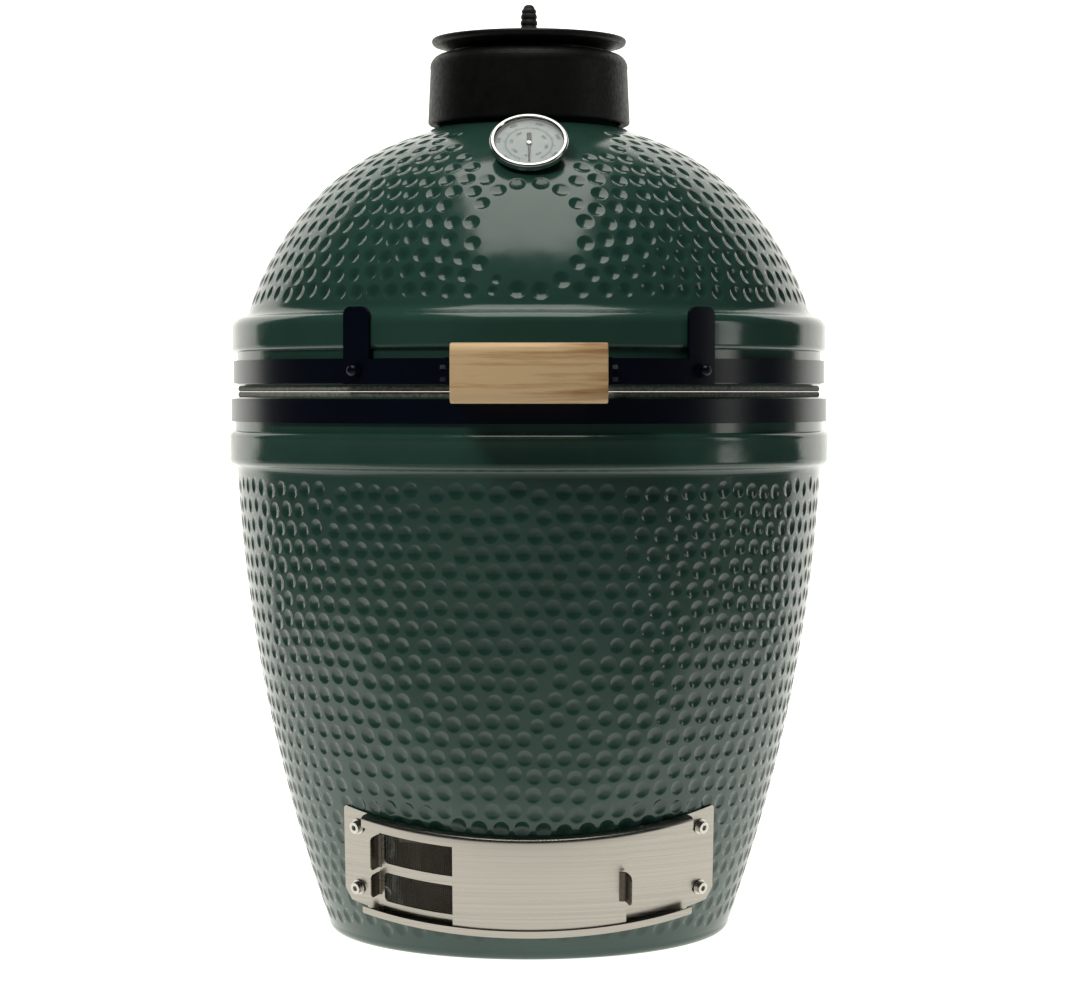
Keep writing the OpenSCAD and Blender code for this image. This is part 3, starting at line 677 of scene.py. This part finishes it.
def dome_shell():
    b = Shell()
    low_zone = [(SEAT_R - 1.5, DOME_Z), (SEAT_R, DOME_Z + 1.5), (SEAT_R, DOME_Z + 26)]
    low_zone += arc((SEAT_R, DOME_Z + 26), (DOME_RING, DOME_Z + 31), 1.4, 6)
    low_zone += [(DOME_RING, DOME_Z + 31), (DOME_RING, DOME_Z + 43.5)]
    low_zone += arc((DOME_RING, DOME_Z + 43.5), (222.5, DOME_Z + 53), 2.6, 8)[1:]
    low_zone += arc((222.5, DOME_Z + 53), shoulder, -1.1, 5) + [shoulder]
    start, low = b.lathe(low_zone)
    wall = Surface(arc(shoulder, waist, 4.4, 50) + arc(waist, crown, 6.6, 60) + [crown])
    neck_zone = [crown] + arc(neck, (CHIMNEY_R, 627), -1.6, 6)
    neck_zone += [(CHIMNEY_R, 627), (CHIMNEY_R, CHIMNEY_Z - 1)]
    high, top = b.lathe(neck_zone)
    inner = [(CHIMNEY_R, CHIMNEY_Z - 1), (CHIMNEY_R - 1, CHIMNEY_Z)]
    inner += [(BORE_R + 1, CHIMNEY_Z), (BORE_R, CHIMNEY_Z - 1)]
    inner += arc((BORE_R, 614), (66, 600), 2.2, 6) + arc((66, 600), (156.2, 543.5), -7.6, 14)
    inner += arc((156.2, 543.5), (198, 472), -4.4, 12) + [(198, 472), (MOUTH, DOME_Z + 24)]
    inner += [(MOUTH, DOME_Z + 1.5), (MOUTH + 1.5, DOME_Z), (SEAT_R - 1.5, DOME_Z)]
    b.lathe(inner, first=top, last=start, mat=1)

    patch_v, half_w, half_h, ring_n = wall.v_at_z(532.0), 42.0, 47.5, 16
    turn = (np.arange(ring_n) + 0.5) * TAU / ring_n
    ring_v = patch_v + half_h * np.sin(turn) + rng.normal(0, 0.5, ring_n)
    ring_th = (half_w * np.cos(turn) + rng.normal(0, 0.5, ring_n)) / wall.at(ring_v)[0]
    middle, axis = np.array(GAUGE.translation) / MM, np.array(GAUGE.col[2])[:3]

    def oval(th, v):
        return np.hypot(th * wall.at(v)[0] / half_w, (v - patch_v) / half_h)

    def smooth(th, v):
        off = wall.points(th, v) - middle
        away = np.linalg.norm(off - (off @ axis)[:, None] * axis, axis=1)
        r, z, _, _ = wall.at(v)
        return (away < 37) | ((np.abs(r * np.sin(th)) < 54) & (z > 597) & (np.cos(th) > 0))

    ring = (ring_th, ring_v)
    th, v = spread_dimples(wall, 1.5, wall.length - 4, 15.9, 13.7, ring, lambda t, u: oval(t, u) > 1.17)
    fixed = np.arange(len(th)) < ring_n
    keep = fixed | ((oval(th, v) > 1.1) & ~smooth(th, v))
    size = np.where(fixed, 7.7, rng.uniform(6.0, 7.0, len(th)))[keep]
    rad = np.minimum(size, (nearest(wall.points(th[keep], v[keep])) / 2 - 0.3) / RINGS[-1])
    dim = [(t, vv, ra) for t, vv, ra in zip(th[keep], v[keep], rad) if ra > 3.4]
    grid_v = np.concatenate([np.full(48, q) for q in np.arange(8, wall.length - 6, 13)])
    grid_th = np.tile(np.linspace(-0.6, 0.6, 48), len(grid_v) // 48)
    off = wall.points(grid_th, grid_v)[:, None] - wall.points(th[keep], v[keep])[None]
    free = np.linalg.norm(off, axis=2).min(1) > 11
    fill = [(t, vv) for t, vv, k in zip(grid_th + rng.normal(0, 0.004, len(grid_th)), grid_v, free) if k]
    b.skin(wall, 0.0, wall.length, low, high, dim, fill=fill)
    return b.finish("dome_shell_glazed", "dome", "green_glaze", ["dome_shell"], ["green_glaze", "bisque"],
                    b.pool_values())


# ---------------------------------------------------------------- rings turned round Z


def turned(name, profile, body, slot, replaces=(), n=160, matrix=None, crease=30):
    """A closed profile (r, z), the solid on its left, turned round Z in mm."""
    b = Build()
    p = list(profile)
    if p[0][0] > 1e-6:
        ring, _ = b.lathe(p, n=n, crease=crease)
        b.lathe([p[-1], p[0]], n=n, last=ring, crease=crease)
    else:
        b.lathe(p, n=n, crease=crease)
    obj = b.finish(name, body, slot, replaces)
    if matrix is not None:
        obj.data.transform(matrix)
    return obj


def gaskets():
    for name, body in (("base_gasket", "base"), ("dome_gasket", "dome")):
        a, c = (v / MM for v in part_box(name))
        z0, z1, r1, r0 = a.z, c.z, c.x, MOUTH + 1.5
        m = (z0 + z1) / 2
        prof = [(r0, z0), (r1 - 1, z0), (r1 - 0.2, m - 1), (r1, m)]
        prof += [(r1 - 0.2, m + 1), (r1 - 1, z1), (r0, z1)]
        turned(name + "_felt", prof, body, "felt", [name], n=240, crease=60)


# ---------------------------------------------------------------- vent


def bent_plate(name, outline, holes, r, t, body, slot, replaces=(), step=4.0, extra=None, tint_and_painted_shade=None):
    """A flat outline (arc length at radius r, height) with holes, bent round the vent's axis."""
    def dense(loop):
        out = []
        for k in range(len(loop)):
            p, q = np.array(loop[k - 1]), np.array(loop[k])
            m = max(1, int(np.linalg.norm(q - p) / step))
            out += [tuple(p + (q - p) * i / m) for i in range(m)]
        return out

    loops = [dense(outline)] + [dense(h) for h in holes]
    pts, edges, rings = [], [], []
    for loop in loops:
        start = len(pts)
        pts += loop
        ids = list(range(start, len(pts)))
        rings.append(ids)
        edges += [(ids[i], ids[(i + 1) % len(ids)]) for i in range(len(ids))]
    polys = [np.array(q) for q in loops]
    lo2, hi2 = polys[0].min(0), polys[0].max(0)
    border = np.concatenate(polys)
    for x in np.arange(lo2[0] + step / 2, hi2[0], step):
        for y in np.arange(lo2[1] + step / 2, hi2[1], step * 1.6):
            ok = inside((x, y), polys[0]) and not any(inside((x, y), q) for q in polys[1:])
            if ok and np.linalg.norm(border - (x, y), axis=1).min() > step * 0.4:
                pts.append((x, y))
    out = delaunay_2d_cdt([Vector(p) for p in pts], edges, [], 0, 1e-6)
    src = [o[0] for o in out[3]]
    p2 = np.array(pts)
    tris = []
    for f in out[2]:
        g = [src[k] for k in f]
        mid = p2[g].mean(0)
        if len(set(g)) == 3 and inside(mid, polys[0]) and not any(inside(mid, q) for q in polys[1:]):
            c = p2[g]
            area = (c[1] - c[0])[0] * (c[2] - c[0])[1] - (c[2] - c[0])[0] * (c[1] - c[0])[1]
            tris.append(g if area > 0 else g[::-1])
    n = len(pts)
    th = p2[:, 0] / r
    outer = around(np.full(n, r + t), p2[:, 1], th)
    inner = around(np.full(n, r), p2[:, 1], th)
    verts = np.concatenate([outer, inner])
    faces = tris + [[g[2] + n, g[1] + n, g[0] + n] for g in tris]
    for k, ids in enumerate(rings):
        q = polys[k]
        area = (q[:, 0] * np.roll(q[:, 1], -1) - np.roll(q[:, 0], -1) * q[:, 1]).sum()
        turn = (area > 0) == (k == 0)
        for i in range(len(ids)):
            a, c = ids[i], ids[(i + 1) % len(ids)]
            face = [a, a + n, c + n, c]
            faces.append(face if turn else face[::-1])
    flat_count = len(faces)
    if extra:
        ev, ef = extra
        faces += [[i + len(verts) for i in f] for f in ef]
        verts = np.concatenate([verts, np.array(ev, float)])
    obj = from_data(name, verts, faces, body, slot, replaces, matrix=VENT, angle=40)
    # The faces past the flat sheet (the finger tabs) take a second, darker copy of the steel: painted shade.
    if tint_and_painted_shade:
        obj.data.materials.append(MATS[tint_and_painted_shade])
        obj.data.polygons.foreach_set("material_index", [int(k >= flat_count) for k in range(len(faces))])
    return obj


def rounded(x0, x1, y0, y1, radii, n=5):
    """A rectangle's outline with its own radius at each corner, from the lower left, turning left."""
    corners = [(x0, y0, 1, 1, 180), (x1, y0, -1, 1, 270), (x1, y1, -1, -1, 0), (x0, y1, 1, -1, 90)]
    out = []
    for (x, y, sx, sy, a0), r in zip(corners, radii):
        if r <= 0:
            out.append((x, y))
            continue
        for i in range(n + 1):
            a = math.radians(a0 + 90 * i / n)
            out.append((x + sx * r + r * math.cos(a), y + sy * r + r * math.sin(a)))
    return out


def sweep(section, a0, a1, n=40):
    """A closed section (r, h) swept round the vent's axis between two angles in degrees."""
    th = np.radians(np.linspace(a0, a1, n + 1))
    m = len(section)
    r, h = np.array(section).T
    verts = np.concatenate([around(r, h, np.full(m, t)) for t in th])
    faces = []
    for k in range(n):
        for i in range(m):
            j = (i + 1) % m
            a, b = k * m, (k + 1) * m
            faces.append([a + i, b + i, b + j, a + j])
    faces.append(list(range(m)))
    faces.append([n * m + i for i in range(m - 1, -1, -1)])
    return verts, faces


def hook(r0, r1, h_flange, h_lip, t=1.2, bend=2.2, n=5):
    """Section of a flange with its lip, bent with a radius; h_lip may be above or below."""
    s = 1 if h_lip > h_flange else -1
    mid = [(r0, 0), (r1 - bend, 0)]
    for i in range(1, n + 1):
        a = math.radians(90 * i / n)
        mid.append((r1 - bend + bend * math.sin(a), bend - bend * math.cos(a)))
    mid.append((r1, abs(h_lip - h_flange)))
    outer, inner = [], []
    for k, p in enumerate(mid):
        q0, q1 = np.array(mid[max(k - 1, 0)]), np.array(mid[min(k + 1, len(mid) - 1)])
        d = (q1 - q0) / np.linalg.norm(q1 - q0)
        side = np.array([d[1], -d[0]]) * t / 2
        outer.append(np.array(p) + side)
        inner.append(np.array(p) - side)
    loop = outer + inner[::-1]
    return [(float(p[0]), h_flange + s * (float(p[1]) + t / 2)) for p in (loop if s > 0 else loop[::-1])]


def strip_along(path, h0, h1, t, corner=0.0):
    """A strip standing on a path of (r, angle in degrees), from h0 to h1, as verts and faces."""
    pts = [np.array((r * math.sin(math.radians(a)), -r * math.cos(math.radians(a)))) for r, a in path]
    out, inn = [], []
    for k, p in enumerate(pts):
        d = pts[min(k + 1, len(pts) - 1)] - pts[max(k - 1, 0)]
        d = d / np.linalg.norm(d)
        s = np.array([d[1], -d[0]]) * t / 2
        out.append(p + s)
        inn.append(p - s)
    length = np.r_[0, np.cumsum([np.linalg.norm(pts[i + 1] - pts[i]) for i in range(len(pts) - 1)])]
    verts, faces = [], []
    for k in range(len(pts)):
        left = length[-1] - length[k]
        cut = corner - math.sqrt(max(corner**2 - (corner - left) ** 2, 0)) if left < corner else 0.0
        for q, h in ((out[k], h0 + cut), (out[k], h1 - cut), (inn[k], h1 - cut), (inn[k], h0 + cut)):
            verts.append((q[0], q[1], h))
    for k in range(len(pts) - 1):
        a, b = 4 * k, 4 * (k + 1)
        for i in range(4):
            j = (i + 1) % 4
            faces.append([a + i, b + i, b + j, a + j])
    faces.append([3, 2, 1, 0])
    faces.append([len(verts) - 4 + i for i in range(4)])
    return verts, faces


def tab_path(r, a_end, reach, bend, to_right, n=6):
    """Path of a finger tab: from the sheet at radius r, bent outwards at angle a_end."""
    s = 1 if to_right else -1
    back = math.degrees(bend / r)
    path = [(r, a_end - s * back)]
    for i in range(1, n + 1):
        a = math.radians(90 * i / n)
        short = math.degrees((bend - bend * math.sin(a)) / r)
        path.append((r + bend * (1 - math.cos(a)), a_end - s * short))
    for k in range(1, 7):
        path.append((r + bend + (reach - bend) * k / 6, a_end))
    return path


def merge(*parts):
    verts, faces = [], []
    for v, f in parts:
        faces += [[i + len(verts) for i in g] for g in f]
        verts += [tuple(p) for p in v]
    return verts, faces


def vent():
    vr, t, lip = 190.0, 1.2, 196.9
    deg = math.radians(1) * (vr + t)
    end, left, right = 45.5 * deg, -38.5 * deg, 37.5 * deg
    body = [(left, 0.0), (right, 0.0), (right, 4.0), (end - 7, 4.0), (end, 12.0)]
    body += [(end, 77.0), (end - 2, 79.0), (-end + 2, 79.0), (-end, 77.0)]
    body += [(-end, 12.0), (-end + 7, 4.0), (left, 4.0)]
    holes = [rounded(-34 * deg, -0.5 * deg, 8.5, 71, (3, 3, 3, 3))]
    for s in (-1, 1):
        for h in (17, 66):
            x = s * 41.0 * deg
            holes.append(rounded(x - 6.7, x + 6.7, h - 3.1, h + 3.1, (3, 3, 3, 3)))
    low = sweep(hook(vr + 0.2, lip + t / 2, 0.0, 6.0), -38.5, 37.5)
    top = sweep(hook(vr + 0.2, lip + t / 2, 79.0, 71.0), -38.5, 37.5)
    bent_plate("vent_plate_steel", body, holes, vr, t, "base", "stainless", ["vent_frame"],
               extra=merge(low, top))

    dr = 195.2
    deg = math.radians(1) * (dr + t)
    a0, a1 = -16.4 * deg, 21.1 * deg
    notch = 5.2
    body = [(a0, 1.7), (a1, 1.7), (a1, 23.6), (a1 - notch, 24.6)]
    body += [(a1 - notch, 48.4), (a1, 49.4), (a1, 77.3), (a0, 77.3)]
    tab = strip_along(tab_path(dr + t / 2, 21.1 - 0.2, 12.4, 4.6, True), 25, 48, t, 3.0)
    # The door's finger tab gets the darker copy of the steel: painted shade.
    bent_plate("vent_door_steel", body, [], dr, t, "solid_door", "stainless", ["vent_door"], extra=tab,
               tint_and_painted_shade="tab_steel_painted_shade")

    sr, st = 191.6, 1.0
    deg = math.radians(1) * (sr + st)
    a0, a1 = -35.1 * deg, 2.4 * deg
    p0, p1 = -33.4 * deg, 0.7 * deg
    holes = [rounded(p0, p1, 13.6, 36.9, (3.5, 1, 1, 3.5)), rounded(p0, p1, 44.3, 68.2, (3.5, 1, 1, 3.5))]
    foot = 1.4 * deg
    body = [(a0, 1.8), (a0 + foot, 1.8), (a0 + foot, 9.5), (a1 - foot, 9.5), (a1 - foot, 1.8), (a1, 1.8),
            (a1, 77.2), (a0, 77.2)]
    path = tab_path(sr + st / 2, -35.0, 10.3, 2.6, False)
    tabs = [strip_along(path, h0, h1, st, 2.5) for h0, h1 in ((18, 36), (40, 66))]
    # The screen door's finger tabs get the darker copy of the steel: painted shade.
    bent_plate("vent_screen_steel", body, holes, sr, st, "screen_door", "stainless", ["vent_screen_door"],
               extra=merge(*tabs), tint_and_painted_shade="tab_steel_painted_shade")
    weave(192.1, (-33.4, 0.7), ((13.6, 36.9), (44.3, 68.2)))


def weave(r, span, panes, pitch=1.45, wire=0.2):
    """Plain weave of round wires in each pane."""
    verts, faces = [], []

    def rod(path, sides=4):
        start = len(verts)
        pts = np.array(path)
        for k, p in enumerate(pts):
            d = pts[min(k + 1, len(pts) - 1)] - pts[max(k - 1, 0)]
            d = d / np.linalg.norm(d)
            out = np.array([p[0], p[1], 0])
            out = out / np.linalg.norm(out)
            out = out - d * (out @ d)
            out /= np.linalg.norm(out)
            side = np.cross(d, out)
            for i in range(sides):
                a = TAU * i / sides
                verts.append(tuple(p + wire * (math.cos(a) * out + math.sin(a) * side)))
        for k in range(len(pts) - 1):
            for i in range(sides):
                j = (i + 1) % sides
                a, b = start + k * sides, start + (k + 1) * sides
                faces.append([a + i, a + j, b + j, b + i])

    a0, a1 = (math.radians(a) for a in span)
    for h0, h1 in panes:
        cols = int((a1 - a0) * r / pitch)
        rows = int((h1 - h0) / pitch)
        for i in range(1, cols):
            a = a0 + (a1 - a0) * i / cols
            path = []
            for j in range(rows + 1):
                rr = r + 0.1 * (1 if (i + j) % 2 else -1)
                path.append((rr * math.sin(a), -rr * math.cos(a), h0 + (h1 - h0) * j / rows))
            rod(path)
        for j in range(1, rows):
            h = h0 + (h1 - h0) * (j) / rows
            path = []
            for i in range(cols + 1):
                a = a0 + (a1 - a0) * i / cols
                rr = r - 0.1 * (1 if (i + j) % 2 else -1)
                path.append((rr * math.sin(a), -rr * math.cos(a), h))
            rod(path)
    # The wires take the darker copy of the steel: painted shade.
    from_data("vent_mesh_woven", verts, faces, "screen_door", "mesh_steel", ["vent_mesh"], matrix=VENT,
              angle=100)


# ---------------------------------------------------------------- handle, gauge, hinge springs


def handle():
    lo, hi = (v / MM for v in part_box("handle_grip"))
    cy, cz, w, h = (lo.y + hi.y) / 2, (lo.z + hi.z) / 2, hi.y - lo.y, hi.z - lo.z
    ends = ((0, 1.1), (0.35, 0.35), (1.1, 0))
    xs = [(lo.x + x, inset) for x, inset in ends] + [(hi.x - x, inset) for x, inset in ends[::-1]]
    verts, faces = [], []
    m = 0
    for x, inset in xs:
        loop = rounded(-w / 2 + inset, w / 2 - inset, -h / 2 + inset, h / 2 - inset, (7 - inset,) * 4, 8)
        m = len(loop)
        verts += [(x, cy + p, cz + q) for p, q in loop]
    for k in range(len(xs) - 1):
        for i in range(m):
            j = (i + 1) % m
            faces.append([k * m + i, k * m + j, (k + 1) * m + j, (k + 1) * m + i])
    faces.append(list(range(m - 1, -1, -1)))
    faces.append([(len(xs) - 1) * m + i for i in range(m)])
    from_data("handle_grip_wood", verts, faces, "dome", "grip_wood", ["handle_grip"])


def gauge():
    R = 28.8
    bezel = [(27.15, -3.8), (R - 0.5, -3.8), (R, -3.3), (R, -0.4)]
    bezel += arc((R, -0.4), (R - 2.0, 1.6), 0.8, 8)[1:]
    bezel += [(R - 2.0, 1.6), (R - 2.8, 1.5), (R - 3.3, 0.65), (27.15, 0.65)]
    turned("gauge_bezel_rim", bezel, "dome", "bezel_chrome", ["gauge_bezel"], matrix=GAUGE, n=120)
    cup = [(3.2, -6.5), (25.4, -6.5), (26.6, -6.0), (27, -5.0), (27, -0.8)]
    cup += [(26, -0.8), (26, -5.3), (3.2, -5.3)]
    turned("gauge_cup", cup, "dome", "housing_paint", ["gauge_housing"], matrix=GAUGE, n=120)
    lens = [(0, -0.6), (25.2, -0.6), (25.2, 0.35)]
    lens += arc((25.2, 0.35), (0, 1.45), 0.35, 10)[1:] + [(0, 1.45)]
    turned("gauge_lens", lens, "dome", "glass", ["gauge_glass"], matrix=GAUGE, n=96)
    hub = [(0, -1.35), (1.9, -1.35), (1.9, -1.0)] + arc((1.9, -1.0), (0, -0.72), 0.1, 6)[1:] + [(0, -0.72)]
    turned("gauge_hub", hub, "needle", "bolt_steel", matrix=GAUGE, n=40)

    face = -2.98
    verts, faces = [], []

    def bar(r0, r1, a, w):
        c, s = math.cos(a), math.sin(a)
        start = len(verts)
        for z in (face, face + 0.05):
            for x, y in ((-w / 2, r0), (w / 2, r0), (w / 2, r1), (-w / 2, r1)):
                verts.append((x * c + y * s, -x * s + y * c, z))
        faces.append([start + 4, start + 5, start + 6, start + 7])
        faces.append([start + 3, start + 2, start + 1, start])
        for i in range(4):
            j = (i + 1) % 4
            faces.append([start + i, start + j, start + 4 + j, start + 4 + i])

    first, per = math.radians(-157), math.radians(50.6)
    for k in range(62):
        t = 150 + 10 * k
        a = first + per * (t - 150) / 100
        long = t % 50 == 0
        bar(17.2, 19.4 if long else 18.5, a, 0.34 if long else 0.2)
    n = 90
    for k in range(n):
        a = first + per * 6.1 * (k + 0.5) / n
        bar(17.05, 17.3, a, 2.05 * 17.2 * per * 6.1 / n / 2)
    for k in range(71):
        c = 50 + 5 * k
        a = first + per * (c * 1.8 + 32 - 150) / 100
        if a < first + per * 6.15:
            bar(16.3 if c % 50 else 15.7, 17.1, a, 0.3 if c % 50 == 0 else 0.16)
    from_data("gauge_scale", verts, faces, "dome", "needle_paint", matrix=GAUGE)

    for t in range(200, 701, 100):
        number(t, 22.4, first + per * (t - 150) / 100, 3.1)
    for c in range(50, 401, 50):
        if c != 250:
            number(c, 12.9, first + per * (c * 1.8 + 32 - 150) / 100, 2.5)


def number(value, radius, angle, size):
    """A printed number on the dial, upright to the reader, as a thin mesh."""
    curve = bpy.data.curves.new(f"n{value}", "FONT")
    curve.body = str(value)
    curve.size = size * 1.3 * MM
    curve.extrude = 0.03 * MM
    curve.offset = 0.05 * MM
    curve.align_x, curve.align_y = "CENTER", "CENTER"
    obj = bpy.data.objects.new(f"dial_{value}_{int(radius)}", curve)
    scene.collection.objects.link(obj)
    bpy.context.view_layer.update()
    mesh = bpy.data.meshes.new_from_object(obj)
    bpy.data.objects.remove(obj)
    at = Matrix.Translation(Vector((radius * math.sin(angle), radius * math.cos(angle), -2.96)) * MM)
    mesh.transform(GAUGE @ at @ Matrix.Rotation(-angle, 4, "Z") if abs(angle) < 1.9 else GAUGE @ at
                   @ Matrix.Rotation(-angle + math.pi, 4, "Z"))
    mesh.materials.clear()
    place(mesh, f"dial_number_{value}_{int(radius)}", "dome", "needle_paint")


def spring_wire(name, path, body, replaces=(), r=2.0, sides=14):
    verts, faces = [], []
    p = np.array(path, float)
    n = len(p)
    side = None
    for i in range(n):
        d = p[min(i + 1, n - 1)] - p[max(i - 1, 0)]
        d /= np.linalg.norm(d)
        a = np.cross(d, (1, 0, 0)) if side is None else side - d * (side @ d)
        a /= np.linalg.norm(a)
        side = a
        b = np.cross(d, a)
        turn = [TAU * k / sides for k in range(sides)]
        verts += [tuple(p[i] + r * (a * math.cos(w) + b * math.sin(w))) for w in turn]
    for i in range(n - 1):
        for k in range(sides):
            j = (k + 1) % sides
            faces.append([i * sides + k, i * sides + j, (i + 1) * sides + j, (i + 1) * sides + k])
    faces += [list(range(sides - 1, -1, -1)), [(n - 1) * sides + k for k in range(sides)]]
    return from_data(name, verts, faces, body, "bolt_steel", replaces)


def springs():
    """Coil and lower leg stay on the base; the upper leg goes round the pin with the dome."""
    pivot = Vector(joints["dome_hinge"]["pos_m"]) / MM
    turns, pitch, mean = 5.5, 4.3, 10.0
    for side, x0 in (("left", -37.0), ("right", 37.0 - pitch * turns)):
        coil = []
        for t in np.arange(0, 360 * turns + 1, 10):
            a = math.radians(t)
            coil.append((x0 + pitch * t / 360, pivot.y + mean * math.sin(a), pivot.z - mean * math.cos(a)))
        leg = [(x0, 238.5, 403.0), (x0, 256.0, 406.4)]
        last = coil[-1]
        up = [last, (last[0], 256.0, 428.6), (last[0], 237.5, 433.0)]
        spring_wire(f"hinge_spring_{side}", leg + coil, "base", ["hinge_springs"])
        spring_wire(f"hinge_spring_leg_{side}", up, "dome")


# ---------------------------------------------------------------- build

base_shell()
dome_shell()
gaskets()
vent()
handle()
gauge()
springs()

slots = {p["node"]: p["material_slot"] for p in frame["record"]["subparts"]}
for name, obj in nodes.items():
    if not obj.hide_render:
        obj.data.materials.clear()
        obj.data.materials.append(MATS[slots[name]])


# ---------------------------------------------------------------- studio


def emitter(name, size, location, target, strength, mirrored=True):
    light = bpy.data.lights.new(name, "AREA")
    light.shape = "RECTANGLE"
    light.size, light.size_y = size
    light.energy, light.color = strength, (1.0, 1.0, 0.93)
    obj = bpy.data.objects.new(name, light)
    scene.collection.objects.link(obj)
    obj.location = location
    obj.visible_glossy = mirrored
    obj.rotation_euler = (Vector(target) - Vector(location)).to_track_quat("-Z", "Y").to_euler()
    return obj


def studio():
    xs = np.linspace(-4.2, 4.2, 169)
    flat = np.linspace(-3.2, 2.2, 109)
    bend = [(2.2 + 0.8 * math.sin(a), 0.8 - 0.8 * math.cos(a)) for a in np.linspace(0.1, math.pi / 2, 12)]
    path = [(y, 0.0) for y in flat] + bend + [(3.0, z) for z in np.linspace(1.0, 4.0, 12)]
    verts = [(x, y, z - 0.0005) for y, z in path for x in xs]
    n = len(xs)
    faces = [(k * n + i, k * n + i + 1, (k + 1) * n + i + 1, (k + 1) * n + i)
             for k in range(len(path) - 1) for i in range(n - 1)]
    mesh = bpy.data.meshes.new("floor")
    mesh.from_pydata(verts, [], faces)
    mesh.shade_smooth()
    co = np.array(verts)

    def step(value, a, b):
        t = np.clip((value - a) / (b - a), 0, 1)
        return t * t * (3 - 2 * t)

    x, y = np.abs(co[:, 0]), co[:, 1]
    front = 0.34 * step(y, -0.95, -0.3) * step(x, 0.6, 0.2)
    near = 1.05 * step(y, -0.45, -0.27) * step(x, 1.2, 0.8)
    rear = 1.35 * step(y - 0.6 * x, -0.2, 0.3)
    glow = mesh.attributes.new("glow", "FLOAT", "POINT")
    glow.data.foreach_set("value", np.maximum(np.maximum(front, near), rear).astype(np.float32))
    floor = bpy.data.objects.new("floor", mesh)
    scene.collection.objects.link(floor)
    s = Shader("floor", Roughness=0.85, Specular_IOR_Level=0.1)
    s.link(s.ramp(s.noise(3.0), [(0.3, (0.36, 0.36, 0.36)), (0.7, (0.38, 0.38, 0.38))]), "Base Color")
    s.set(Emission_Color=(1.0, 1.0, 0.93))
    s.link(s.node("ShaderNodeAttribute", attribute_name="glow").outputs["Fac"], "Emission Strength")
    mesh.materials.append(s.mat)

    world = bpy.data.worlds.new("studio")
    world.use_nodes = True
    world.node_tree.nodes["Background"].inputs["Color"].default_value = (0.03, 0.032, 0.035, 1)
    scene.world = world

    emitter("overhead", (1.0, 1.45), (0.0, -0.33, 1.95), (0.0, -0.3299, 0.0), 12)
    emitter("key", (0.7, 0.7), (-1.1, -1.9, 2.3), (0, 0, 0.45), 36, mirrored=False)
    emitter("right", (0.4, 1.2), (2.2, -0.5, 0.75), (0, 0, 0.4), 3)


def camera():
    lens = bpy.data.cameras.new("camera")
    lens.sensor_fit, lens.sensor_width = "HORIZONTAL", 36.0
    lens.lens = 36.0 * 2976 / 1074
    lens.clip_start, lens.clip_end = 0.1, 100
    cam = bpy.data.objects.new("camera", lens)
    scene.collection.objects.link(cam)
    cam.location = (0, -2.3266, 0.4175)
    down, right = math.atan(109.5 / 2976), math.atan(8 / 2976)
    cam.rotation_euler = Euler((math.radians(90) - down, 0, -right))
    scene.camera = cam


studio()
camera()
scene.view_settings.view_transform = "Standard"
scene.view_settings.look = "None"
